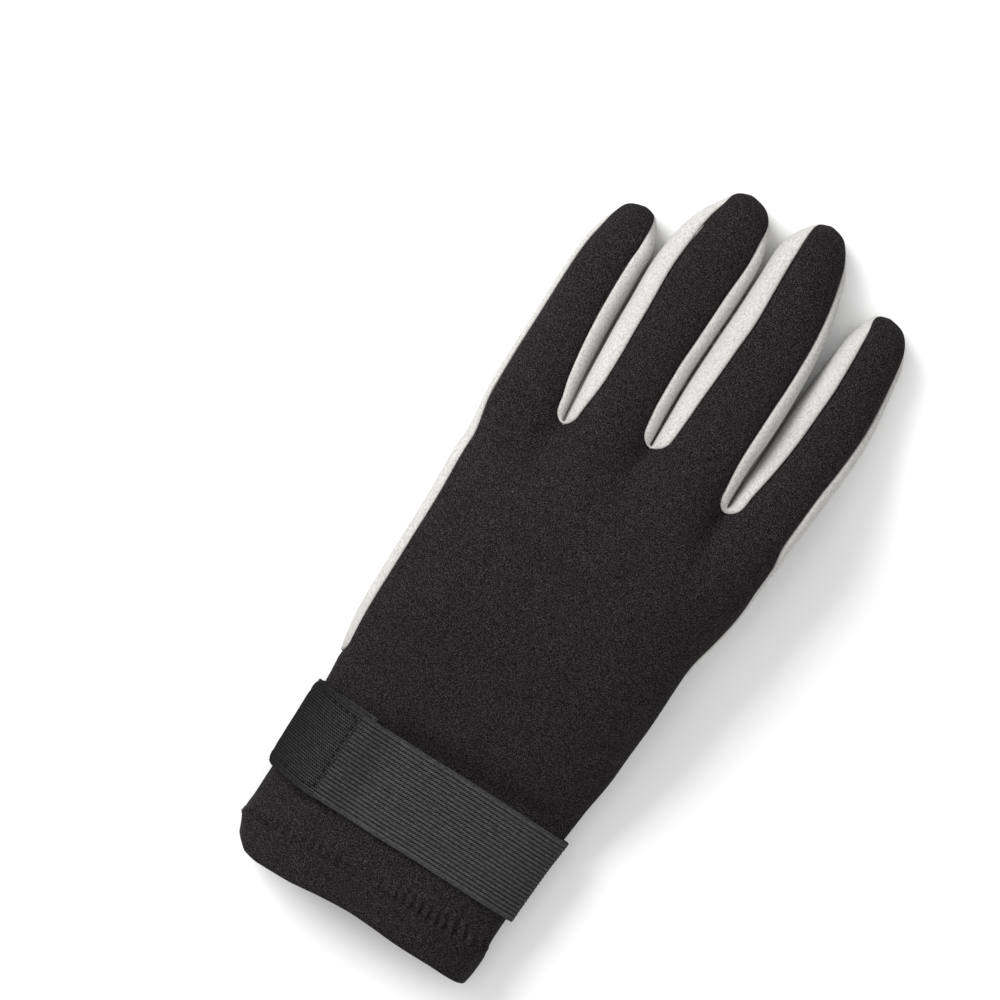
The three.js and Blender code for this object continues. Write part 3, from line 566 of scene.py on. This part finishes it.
# Each ply of the strap has its ribs' width, the shares of its painted shade at the start and at the end, and how
# far the painted shade runs
webbingLook = {
    "dark": 0.002, "light": 0.062, "ribDepth": 0.14, "loop": 0.62, "loopDepth": 0.16,
    "slant": 38, "selvedge": (0.462, 0.47), "selvedgeTone": 0.7,
    "band": (1.26, (0.75, 1.0), 16), "tab": (0.84, (0.70, 0.25), 20),
}
threadLook = {"dark": 0.0015, "light": 0.009, "twistSize": 1800, "twist": 0.05}


# Knitted jersey over foam: a tight fleck of loops with the foam's fine unevenness under it
def neopreneMaterial():
    look = neopreneLook
    n = Nodes("neoprene", 0.85, 0.05)
    fleck = n.grain(look["fleckSize"], 1, (1, 0.75, 1))
    patch = n.grain(150, 4)
    tone = n.ramp(fleck, (0.40, look["dark"]), (0.53, look["middle"]), (0.68, look["light"]))
    tone = n.blend(tone, look["patch"], n.ramp(patch, (0.35, 0.05), (0.7, 0.25)))
    n.bump(n.grain(240, 2), look["foam"], 0.4)
    n.bump(fleck, look["grain"], 0.6)
    return n.finish(tone, n.ramp(patch, (0.3, 0.7), (0.7, 0.86)))


# Napped suede: a short fuzz that lies one way or the other
def suedeMaterial():
    look = suedeLook
    n = Nodes("suede", 0.95, 0.08, sheen=0.05)
    fuzz = n.grain(look["fuzzSize"], 4, (1, 0.8, 1), 0.4)
    tuft = n.grain(look["tuftSize"], 4)
    tone = n.ramp(fuzz, (0.36, look["dark"]), (0.60, look["light"]))
    tone = n.blend(tone, look["cloud"], n.ramp(n.grain(70, 3), (0.35, 0.15), (0.7, 0.4)))
    tone = n.blend(tone, n.ramp(tuft, (0.30, 0.86), (0.6, 1.0)), 0.5, "MULTIPLY")
    n.bump(tuft, look["tuft"], 0.5)
    n.bump(fuzz, look["nap"], 0.6)
    return n.finish(tone)


# Brushed microfibre: dark brown-black with paler rubbed creases
def microfibreMaterial():
    look = microfibreLook
    n = Nodes("microfibre", 0.9, 0.08, sheen=0.06)
    fuzz = n.grain(look["fuzzSize"], 4, (1, 0.7, 1))
    cloud = n.grain(210, 5)
    tone = n.ramp(fuzz, (0.35, look["dark"]), (0.75, look["light"]))
    tone = n.blend(tone, look["rubbed"], n.ramp(cloud, (0.3, 0.1), (0.7, 0.6)))
    n.bump(cloud, look["crease"], 0.5)
    n.bump(fuzz, look["nap"], 0.7)
    return n.finish(tone)


# Ribbed elastic: rows of slanting loops run along the strap. The map is in metres. A painted shade runs the tone
# from one share of its full strength to another over a length from the ply's start, darkening the band next to the
# tab and the tab, more towards its far end.
def webbingMaterial(name, rib, paintedShade, fade):
    look = webbingLook
    n = Nodes(name, 0.75, 0.05)
    cloth = n.add("ShaderNodeUVMap").outputs["UV"]
    turn = (0, 0, math.radians(look["slant"]))
    turned = n.add("ShaderNodeMapping", Vector=cloth, Rotation=turn).outputs[0]
    # A wave texture's period in metres is a tenth of pi over its scale
    loopScale, ribScale = 0.314 / (look["loop"] * mm), 0.314 / (rib * mm)
    loops = n.add("ShaderNodeTexWave", Vector=turned, Scale=loopScale, Distortion=0.4, Detail=1.0)
    rows = n.add("ShaderNodeTexWave", Vector=cloth, Scale=ribScale, Distortion=0.0)
    rows.bands_direction = "Y"
    # Dark dimples where a gap between loops meets a gap between ribs
    weave = n.blend(loops.outputs["Color"], rows.outputs["Color"], 1.0, "SCREEN")
    tone = n.ramp(weave, (0.30, look["dark"]), (0.80, look["light"]))
    tone = n.blend(tone, n.ramp(rows.outputs["Fac"], (0.05, 0.25), (0.35, 1.0)), 0.6, "MULTIPLY")
    # The selvedges are a little paler
    along, aside = n.add("ShaderNodeSeparateXYZ", Vector=cloth).outputs[:2]
    low, high = [share * strap["width"] * mm for share in look["selvedge"]]
    edges = [
        n.add("ShaderNodeMapRange", Value=aside, From_Min=side * low, From_Max=side * high).outputs[0]
        for side in (1, -1)
    ]
    pale = look["light"] * look["selvedgeTone"]
    tone = n.blend(tone, (pale,) * 3, n.blend(*edges, 1.0, "ADD"))
    # Painted shade: the tone is darkened along the ply from its start over the given length
    paintedShadeRamp = n.add("ShaderNodeMapRange", Value=along, From_Max=fade * mm, To_Min=paintedShade[0], To_Max=paintedShade[1])
    tone = n.blend(tone, paintedShadeRamp.outputs[0], 1.0, "MULTIPLY")
    tone = n.blend(tone, n.ramp(n.grain(1100, 3), (0.35, 0.5), (0.7, 1.0)), 0.9, "MULTIPLY")
    n.bump(rows.outputs["Fac"], look["ribDepth"], 0.8)
    n.bump(loops.outputs["Fac"], look["loopDepth"], 0.9)
    return n.finish(tone)


def threadMaterial():
    n = Nodes("thread", 0.7, 0.1)
    twist = n.grain(threadLook["twistSize"], 2)
    n.bump(twist, threadLook["twist"], 0.5)
    return n.finish(n.ramp(twist, (0.3, threadLook["dark"]), (0.7, threadLook["light"])))


# Each cloth's material and its thickness in millimetres
cloths = {
    "neoprene": (neopreneMaterial(), 1.7), "suede": (suedeMaterial(), 1.4),
    "microfibre": (microfibreMaterial(), 0.9),
}
webbing = webbingMaterial("webbing", *webbingLook["band"])
tabCloth = webbingMaterial("tab cloth", *webbingLook["tab"])
thread = threadMaterial()
print("materials made")

# The back dips in front of the strap, which draws the wrist in, and swells a little beyond that. Spans along the
# glove are in millimetres. Across it they count the fingers' widths from the little finger's edge.
back = {
    "dip": 5.4, "down": (-66, -61), "up": (-60, -53), "waver": 2.2, "wavePitch": 2.3,
    "littleDip": 0.3, "deepen": (0.7, 1.6), "littleEdge": (0, 0.3), "indexEdge": (3.5, 4),
    "swell": 0.6, "swellAt": -42, "swellReach": 6, "end": 0.9992,
    "mound": (0.04, 0.24), "moundSunk": 4.5, "moundPast": 0.35,
}


def backOut(y, at):
    upper = back["up"][1] + back["waver"] * noise.noise(Vector((at * back["wavePitch"], 0, 0)))
    dip = smooth(y, *back["down"]) * (1 - smooth(y, back["up"][0], upper))
    wide = mix(back["littleDip"], 1, smooth(at, *back["deepen"]))
    wide *= smooth(at, *back["littleEdge"]) * (1 - smooth(at, *back["indexEdge"]))
    return back["swell"] * bell(y - back["swellAt"], back["swellReach"]) - back["dip"] * wide * dip


def buildBack():
    bm = bmesh.new()
    wrapped = spread(seams["cuffPalm"], seams["wrap"], 16)
    stations = spread(seams["cuffBack"], seams["cuffPalm"], 10) + wrapped[1:]
    stations += spread(seams["wrap"], seams["backEnd"], 10)[1:]
    combInto(bm, True, stations, backOut, (back["end"],) * 4)
    # Round the index side to the base of the thumb
    rows = []
    for y in wrapped:
        end = -angleOf(handAt(round(y, 3))["palmRight"], glove["handPower"])
        rows.append([swollen(handPoint(y, end * c, mix(backOut(y, 4), 0, c))) for c in spread(0, 1, 8)])
    sheetInto(bm, rows)
    # The mound at the base of the thumb
    rows = []
    past = back["moundPast"]
    for share in spread(back["mound"][0], thumb["seam"], 12):
        sunk = -back["moundSunk"] * (1 - smooth(share, *back["mound"]))
        rows.append([thumbPoint(share, angle, sunk) for angle in spread(past, -math.pi - past, 18)])
    sheetInto(bm, rows)
    sewn("back_cloth", bm, "neoprene", "back_panel", 3)


# Where the suede ends and where the patches over it do, how far they lie out, and the fingertips' round ends
palm = {
    "end": 0.983, "covered": (84, 90), "patchOut": 0.45, "coveredOut": -0.35,
    "tipWide": 0.97, "tipRound": (9, 2.4, 0.02),
}


def buildPalm():
    foot = seams["patchFoot"]
    upper = spread(foot, seams["palmEnd"], 15)
    stations = spread(seams["cuffPalm"] + seams["gap"], foot, 9) + upper[1:]

    def out(y, at):
        return palm["coveredOut"] * smooth(y, foot - 1, foot + 1) * (1 - smooth(y, *palm["covered"]))
    bm = bmesh.new()
    combInto(bm, False, stations, out, (palm["end"],) * 4)
    sewn("palm_cloth", bm, "suede", "palm_panel", 3)
    bm = bmesh.new()
    combInto(bm, False, upper, lambda y, at: palm["patchOut"], [f["patchTop"] for f in fingers], 14)
    sewn("palm_reinforcement", bm, "microfibre", "palm_patch", 3)
    for k, finger in enumerate(fingers):
        if "tipPatch" not in finger:
            continue
        low, high = [finger["root"][1] + s * finger["length"] for s in finger["tipPatch"]]
        rows = []
        for y in spread(low, high, 14):
            wide = palm["tipWide"] * roundEnd(y, high - palm["tipRound"][0], *palm["tipRound"])
            columns = [mix(0.5, c, wide) for c in across]
            rows.append([panelPoint(k, c, y, False, palm["patchOut"]) for c in columns])
        bm = bmesh.new()
        sheetInto(bm, rows)
        name = finger["name"] + "_tip"
        sewn(name + "_cloth", bm, "microfibre", name + "_patch")


# The side strips: their mesh's columns from seam to seam, how they puff out between the seams and how the row
# over a web runs
strip = {
    "across": (0, 0.06, 0.13, 0.22, 0.34, 0.5, 0.66, 0.78, 0.87, 0.94, 1),
    "puff": curve((0, 0.07, 0.2, 0.5, 0.8, 0.93, 1), (-0.4, 0.35, 0.85, 0.2, 0.6, 0.2, -0.4)),
    "tipPuff": -0.5, "tipFade": (0.86, 0.96), "rows": 30, "tipOut": 0.2,
    "webPower": 0.6, "join": 0.2, "drop": 0.4, "level": 0.16, "fall": 14, "outerWebs": (44, 41),
}


def webRise(c):
    return seams["webRise"] * math.sin(math.pi * c) ** strip["webPower"]


# One side of a finger, from its back seam to its palm seam or the other way round
def stripRows(k, isRight, webBack, webPalm, rise):
    finger = fingers[k]
    tip = finger["root"][1] + finger["length"]
    ys = fingerStations(k, max(webBack, webPalm), 1.0, strip["rows"])
    lines = []
    for y0 in ys:
        t = (y0 - ys[0]) / (ys[-1] - ys[0])
        line = []
        for c in strip["across"]:
            side = c if isRight else 1 - c
            y = round(mix(mix(webBack, webPalm, side) + rise(side), tip, t), 3)
            if isRight:
                angle = mix(seamAngle(k, "backRight", y), -seamAngle(k, "palmRight", y), c)
            else:
                angle = mix(math.pi + seamAngle(k, "palmLeft", y), math.pi - seamAngle(k, "backLeft", y), c)
            share = fingerAt(k, y)["share"]
            puff = mix(strip["puff"](side), strip["tipPuff"], smooth(share, *strip["tipFade"]))
            line.append(swollen(fingerPoint(k, y, angle, puff)))
        lines.append(line)
    row = fingerAt(k, tip)
    lines.append([Vector((row["x"], tip + strip["tipOut"], row["middle"]))] * len(strip["across"]))
    return lines


def buildStripBetween(k):
    backWeb, palmWeb = seams["backWebs"][k + 1], seams["palmWebs"][k + 1]
    right = stripRows(k, True, backWeb, palmWeb, webRise)
    left = stripRows(k + 1, False, backWeb, palmWeb, webRise)
    top = (panelPoint(k, 1, backWeb, True) + panelPoint(k + 1, 0, backWeb, True)) / 2
    foot = (panelPoint(k, 0, palmWeb, False) + panelPoint(k + 1, 1, palmWeb, False)) / 2
    # The two sides meet in one row that passes over the web
    for i, c in enumerate(strip["across"]):
        point = (right[0][i] + left[0][-1 - i]) / 2
        point = point.lerp(top if c < 0.5 else foot, 1 - smooth(min(c, 1 - c), 0, strip["join"]))
        point.y = mix(top.y, foot.y, c) + webRise(c)
        if c < 0.5:
            point.z = max(point.z, top.z - strip["drop"] - strip["fall"] * max(c - strip["level"], 0))
        right[0][i] = left[0][-1 - i] = point
    bm = bmesh.new()
    sheetInto(bm, right)
    sheetInto(bm, left)
    name = f"{fingers[k]['name']}_{fingers[k + 1]['name']}"
    sewn(f"strip_{name}", bm, "suede", f"gusset_{name}", 1)


# The strips on the outside of the little and the index finger run on down the hand
def buildOuterStrip(k, isRight, start, count):
    end = 4 if isRight else 0
    web = (seams["backWebs"][end] + seams["palmWebs"][end]) / 2
    lines = []
    for y in spread(start, web, count)[:-1]:
        finger = fingerAt(k, round(y, 3))
        line = []
        for c in strip["across"]:
            if isRight:
                hand = mix(handEdge(4, y, True), -handEdge(4, y, False), c)
                angle = mix(finger["backRight"], -finger["palmRight"], c)
            else:
                hand = mix(2 * math.pi - handEdge(0, y, False), handEdge(0, y, True), c)
                angle = mix(math.pi + finger["palmLeft"], math.pi - finger["backLeft"], c)
            fadeWeb = strip["outerWebs"][0 if (c < 0.5) == isRight else 1]
            line.append(skin(k, y, fadeWeb, hand, angle, strip["puff"](c if isRight else 1 - c)))
        lines.append(line)
    bm = bmesh.new()
    sheetInto(bm, lines + stripRows(k, isRight, web, web, lambda side: 0.0))
    name = fingers[k]["name"] + "_outer"
    sewn(f"strip_{name}", bm, "suede", f"gusset_{name}", 2)


# The thumb's cloth: its rows close to the tip, the point that closes it, and its patch
thumbCloth = {
    "start": 0.9, "tipShares": (0.925, 0.95, 0.968, 0.982, 0.992, 1.0), "tipOut": 0.2, "tipZ": 5.0, "front": -0.2,
    "patch": (0.5, 0.955), "wide": 0.82, "round": (0.07, 2.4, 0.03), "lift": 0.25,
}


def buildThumb():
    shares = [*spread(thumb["seam"], thumbCloth["start"], 18), *thumbCloth["tipShares"]]
    pole = Vector((thumb["tip"][0], thumb["tip"][1] + thumbCloth["tipOut"], thumbCloth["tipZ"]))

    def half(start, end, out):
        rows = [[thumbPoint(share, angle, out) for angle in spread(start, end, 18)] for share in shares]
        return rows + [[pole] * len(rows[0])]
    bm = bmesh.new()
    sheetInto(bm, half(0, -math.pi, 0.0))
    sewn("thumb_back_cloth", bm, "neoprene", "thumb_back", 1)
    bm = bmesh.new()
    sheetInto(bm, half(math.pi, 0, thumbCloth["front"]))
    sewn("thumb_front_cloth", bm, "suede", "thumb_front")
    low, high = thumbCloth["patch"]
    rows = []
    for share in spread(low, high, 16):
        wide = thumbCloth["wide"] * roundEnd(share, high - thumbCloth["round"][0], *thumbCloth["round"])
        end = angleOf(wide, glove["fingerPower"])
        rows.append([thumbPoint(share, angle, thumbCloth["lift"]) for angle in spread(math.pi - end, end, 12)])
    bm = bmesh.new()
    sheetInto(bm, rows)
    sewn("thumb_reinforcement", bm, "microfibre", "thumb_patch")


# The cuff's hem is folded over and sewn with two rows, which gather it into lumps. They are weaker to the little
# side and almost gone at the sides and below.
cuff = {
    "wall": 1.9, "hem": 12.0, "hemGrow": 0.8, "foldSlope": 1.2, "stitchY": -102.6, "groove": 0.45,
    "grooveReach": 1.1, "ripple": 0.4, "rippleReach": 5.5, "lump": 1.45, "lumpReach": 1.4, "rowShift": 1.6,
    "pitch": 2.9, "phase": 0.8, "sharp": 0.8, "middle": 0.35, "drift": (13, 40), "wander": 2.5,
    "strength": (0.7, 0.3, 0.4), "weakSpan": (-34, -6), "below": 0.15, "belowSpan": (0.03, 0.35),
    "sideFold": 0.6, "foldReach": 0.3, "foldSpan": (-101, -95), "rowSpan": (-107, -98.5),
    "lip": 14, "underFrom": -0.3, "underLip": (0.85, -0.4),
}
# How far back the mouth's edge lies from its plain place, from the little-finger side to the index side
mouthEdge = curve((-51, -48.5, -46.5, -44.4, -39, -30, -18, -9, 0, 9, 21, 30, 33),
                  (7.5, 4.6, 2.7, 1.2, 0.3, 0.3, 1.2, 1.5, 0.9, 0, -0.6, -1.2, -0.8))


# How far the folded hem and the groove of its stitches stand out from the plain section
def hemOut(y):
    fold = glove["mouthY"] + cuff["hem"]
    hem = cuff["hemGrow"] * (1 - smooth(y, fold, fold + cuff["foldSlope"]))
    return hem - cuff["groove"] * bell(y - cuff["stitchY"], cuff["grooveReach"])


# The hem with the gathers along its stitches
def cuffOut(y, angle):
    row = handAt(round(y, 3))
    x = row["centre"] + row["half"] * outAndUp(angle, glove["handPower"])[0]
    drift = noise.noise(Vector((x / cuff["drift"][0], y / cuff["drift"][1], math.sin(angle))))
    turn = math.pi * x / cuff["pitch"] + cuff["wander"] * drift
    base, more, uneven = cuff["strength"]
    strong = base + more * smooth(x, *cuff["weakSpan"]) + uneven * drift
    strong *= mix(cuff["below"], 1, smooth(math.sin(angle), *cuff["belowSpan"]))
    away = y - cuff["stitchY"]
    gathers = cuff["ripple"] * bell(away, cuff["rippleReach"]) * math.sin(2 * turn)
    for side in (-1, 1):
        wave = abs(math.sin(turn + cuff["phase"] * side)) ** cuff["sharp"] - cuff["middle"]
        gathers += cuff["lump"] * wave * bell(away - cuff["rowShift"] * side, cuff["lumpReach"])
    fold = cuff["sideFold"] * bell(angle - math.pi, cuff["foldReach"]) * (1 - smooth(y, *cuff["foldSpan"]))
    return hemOut(y) + gathers * strong + fold


def buildCuff():
    low, high = cuff["rowSpan"]
    common = spread(glove["mouthY"], low, 6) + spread(low, high, 15)[1:] + spread(high, seams["cuffBack"], 11)[1:]
    tongue = spread(seams["cuffBack"], seams["cuffPalm"], 11)

    def ring(y, start, end, count):
        line = []
        for angle in spread(start, end, count):
            point = handPoint(y, angle, cuffOut(y, angle))
            lip = mouthEdge(point.x)
            if math.sin(angle) <= cuff["underFrom"]:
                lip = cuff["underLip"][0] * lip + cuff["underLip"][1]
            lip *= 1 - smooth(y, glove["mouthY"], glove["mouthY"] + cuff["lip"])
            line.append(point + Vector((0, lip, 0)))
        return line
    bm = bmesh.new()
    sheetInto(bm, [ring(y, math.pi, 0, 200) for y in common])
    sheetInto(bm, [ring(y, 0, -math.pi, 80) for y in common + tongue[1:]])
    sewn("cuff_cloth", bm, "neoprene", "wrist_cuff", 1, 0.25, cuff["wall"])


def strapAngle(x, grow=0.0):
    row = handAt(strap["y"])
    return angleOf((x - row["centre"]) / (row["half"] + grow), glove["handPower"])


def strapPoint(angle, offset, lift, shift=0.0):
    y = strap["y"] + offset - strap["skew"] * math.cos(angle) + shift
    return handPoint(y, angle, strap["gap"] + lift, strap["gap"] + lift)


# A ribbon with a map in metres along and across it, so that ribs and threads follow the strap
def ribbonInto(bm, rows, lengths, offsets):
    layer = bm.loops.layers.uv.verify()
    sheetInto(bm, rows)
    bm.verts.index_update()
    for face in bm.faces:
        for loop in face.loops:
            i, j = divmod(loop.vert.index, len(offsets))
            loop[layer].uv = (lengths[i] * mm, offsets[j] * mm)


def walk(points):
    lengths = [0.0]
    for a, b in zip(points, points[1:]):
        lengths.append(lengths[-1] + (b - a).length)
    return lengths


# The band's ribs and edges, and its mouth under the tab
band = {
    "ribs": 23, "ribHeight": 0.08, "edgeSunk": 0.25, "sunk": 0.15, "mouthSunk": 0.45, "mouthReach": 0.7,
    "shiftFrom": 0.6, "thinner": 0.2,
}


def buildBand():
    start = strapAngle(joint)
    rampStart = strapAngle(joint + strap["underReach"] + strap["gap"])
    rampEnd = strapAngle(joint + strap["underReach"] + strap["jointRamp"])
    end = strapAngle(joint + strap["underReach"]) - 2 * math.pi
    angles = spread(start, rampStart, 8)[:-1] + spread(rampStart, rampEnd, 6) + spread(rampEnd, end, 150)[1:]
    columns = band["ribs"] * 4
    offsets = spread(strap["width"] / 2, -strap["width"] / 2, columns)
    rows = []
    for angle in angles:
        lift = stack * smooth(angle, rampEnd, rampStart) + strap["thick"] - band["sunk"]
        lift -= band["mouthSunk"] * smooth(angle, strapAngle(joint + band["mouthReach"]), start)
        shift = strap["underShift"] * (1 - smooth(angle, -math.pi, -math.pi * band["shiftFrom"]))
        line = []
        for i, offset in enumerate(offsets):
            rib = band["ribHeight"] * math.cos(math.pi * i / 2) - band["edgeSunk"] * (i in (0, columns))
            line.append(strapPoint(angle, offset, lift + rib, shift))
        rows.append(line)
    bm = bmesh.new()
    ribbonInto(bm, rows, walk([line[0] for line in rows]), offsets)
    addPiece("wrist_strap", bm, webbing, strap["thick"] - band["thinner"], 0, ["strap_band"])


# The tab is sewn on in a box, whose stitches draw in a groove
tab = {
    "underBand": 1.6, "edge": 0.35, "edgeFrom": 0.93, "groove": 0.3, "grooveReach": 0.8, "box": 12.3,
    "crossAt": 2.9, "crossReach": 0.6, "mouth": 1.0, "mouthSpan": (1.5, 2.2), "shiftSpan": (4, 20),
}


def buildTab():
    wide, corner = strap["tabWidth"] / 2, strap["tabCorner"]
    offsets = spread(-wide, wide, 24)
    angles = spread(strapAngle(joint + tab["underBand"]), strapAngle(strap["tabEnd"], 2 * stack), 28)
    lift = stack + strap["thick"]
    lengths = walk([strapPoint(angle, 0, lift) for angle in angles])
    rows = []
    for angle, length in zip(angles, lengths):
        cut = corner - math.sqrt(corner ** 2 - max(corner - (lengths[-1] - length), 0) ** 2)
        cross = tab["groove"] * bell(length - tab["crossAt"], tab["crossReach"])
        mouth = tab["mouth"] * (1 - smooth(length, *tab["mouthSpan"]))
        shift = strap["tabShift"] * smooth(length, *tab["shiftSpan"])
        line = []
        for offset in offsets:
            edge = tab["edge"] * smooth(abs(offset) / wide, tab["edgeFrom"], 1.0)
            groove = tab["groove"] * bell(abs(offset) - tab["box"], tab["grooveReach"])
            sunk = edge + groove + cross + mouth
            line.append(strapPoint(angle, offset * (wide - cut) / wide, lift - sunk, shift))
        rows.append(line)
    bm = bmesh.new()
    ribbonInto(bm, rows, lengths, offsets)
    addPiece("strap_end", bm, tabCloth, strap["thick"] - band["thinner"], 1, ["strap_tab"])


# A row of thread stitches along points that lie on the cloth
def stitchesInto(bm, points, length, gap, radius):
    lengths = walk(points)
    at, i = gap / 2, 0
    while at + length < lengths[-1]:
        centre = at + length / 2
        while lengths[i + 1] < centre:
            i += 1
        t = (centre - lengths[i]) / (lengths[i + 1] - lengths[i])
        spot = points[i].lerp(points[i + 1], t)
        along = (points[i + 1] - points[i]).normalized()
        turn = along.to_track_quat("X", "Z").to_matrix().to_4x4()
        size = Matrix.Diagonal((length / 2 * mm, radius * mm, radius * mm, 1))
        where = Matrix.Translation(place(*spot)) @ turn @ size
        bmesh.ops.create_icosphere(bm, subdivisions=2, radius=1, matrix=where)
        at += length + gap


# Each thread's stitches are given by their length, the gap between them and their radius
hemStitch = {"size": (2.0, 0.9, 0.26), "row": 0.9, "out": 0.15, "lowest": 0.42, "parts": ((6, 104), (116, 214))}
tabStitch = {"size": (1.7, 0.8, 0.28), "cross": 0.9, "left": 3, "sunk": 0.02, "shiftSpan": (5, 30)}
quilting = {
    "size": (2.2, 0.8, 0.3), "lines": (
        ((29, 26.9), (39, 26.9)), ((29, 18.6), (38, 18.6)), ((30, 10.4), (37, 10.4)),
        ((-7.6, 15.3), (-40, 10.4)), ((-7.6, 7.7), (-40, 2.1)), ((-4.3, -0.5), (-35.6, -6.2)),
    ),
}


def buildHemStitching():
    bm = bmesh.new()
    for side in (-1, 1):
        y = cuff["stitchY"] + side * hemStitch["row"]
        ring = [handPoint(y, angle, hemOut(y) + hemStitch["out"]) for angle in spread(math.pi, -math.pi, 220)]
        for point in ring:
            point.z = max(point.z, hemStitch["lowest"])
        for start, end in hemStitch["parts"]:
            stitchesInto(bm, ring[start:end], *hemStitch["size"])
    addPiece("hem_stitching", bm, thread, levels=0)


def buildTabStitching():
    bm = bmesh.new()
    top = stack + strap["thick"] - tabStitch["sunk"]
    cross = strapAngle(joint - tabStitch["cross"])
    tip = strapAngle(strap["tabEnd"] + tabStitch["left"], 2 * stack)
    for offset in (-tab["box"], tab["box"]):
        row = []
        for i, angle in enumerate(spread(cross, tip, 30)):
            shift = strap["tabShift"] * smooth(i, *tabStitch["shiftSpan"])
            row.append(strapPoint(angle, offset, top, shift))
        stitchesInto(bm, row, *tabStitch["size"])
    row = [strapPoint(cross, offset, top) for offset in spread(-tab["box"], tab["box"], 30)]
    stitchesInto(bm, row, *tabStitch["size"])
    addPiece("tab_stitching", bm, thread, levels=0)


def palmAt(x, y):
    row = handAt(round(y, 3))
    angle = -angleOf((x - row["centre"]) / row["half"], glove["handPower"])
    return swollen(handPoint(y, angle, palm["patchOut"]))


def buildQuilting():
    bm = bmesh.new()
    for (x0, y0), (x1, y1) in quilting["lines"]:
        line = [palmAt(mix(x0, x1, t), mix(y0, y1, t)) for t in spread(0, 1, 30)]
        stitchesInto(bm, line, *quilting["size"])
    addPiece("palm_quilting", bm, thread, levels=0)


# The floor, the camera straight above it, the lights' places, sizes and watts, and the world's strength
studio = {
    "floor": 2.5, "camera": (-0.0327, 0.005, 2.0), "turn": 30, "lens": 237.6, "world": 0.6,
    "lights": {
        "key": ((-1.05, 0.4, 0.95), 0.9, 27), "fill": ((0.9, -0.2, 1.2), 1.2, 4), "top": ((0, 0, 1.7), 1.2, 8),
    },
}


def buildStage():
    mesh = bpy.data.meshes.new("floor")
    bm = bmesh.new()
    bmesh.ops.create_grid(bm, x_segments=1, y_segments=1, size=studio["floor"])
    bm.to_mesh(mesh)
    bm.free()
    floor = addObject("floor", mesh)
    pale = Nodes("pale floor", 0.9, 0.1)
    mesh.materials.append(pale.finish(pale.ramp(pale.grain(3.0, 3.0), (0.3, 0.80), (0.7, 0.82))))
    camera = addObject("camera", bpy.data.cameras.new("camera"))
    camera.location = studio["camera"]
    camera.rotation_euler = (0, 0, math.radians(studio["turn"]))
    camera.data.lens = studio["lens"]
    bpy.context.scene.camera = camera
    for name, (spot, size, watts) in studio["lights"].items():
        light = addObject(name, bpy.data.lights.new(name, "AREA"))
        light.data.size, light.data.energy = size, watts
        light.location = spot
        light.rotation_euler = (-Vector(spot)).to_track_quat("-Z", "Y").to_euler()
    world = bpy.data.worlds.new("studio")
    world.use_nodes = True
    background = world.node_tree.nodes["Background"].inputs
    background["Color"].default_value = (1, 1, 1, 1)
    background["Strength"].default_value = studio["world"]
    bpy.context.scene.world = world
    bpy.context.scene.view_settings.view_transform = "Standard"
    print("stage made")


buildStage()
buildBack()
buildPalm()
for k in range(3):
    buildStripBetween(k)
buildOuterStrip(0, False, seams["cuffPalm"] + seams["gap"], 24)
buildOuterStrip(3, True, seams["wrap"], 14)
buildThumb()
buildCuff()
buildBand()
buildTab()
buildHemStitching()
buildTabStitching()
buildQuilting()
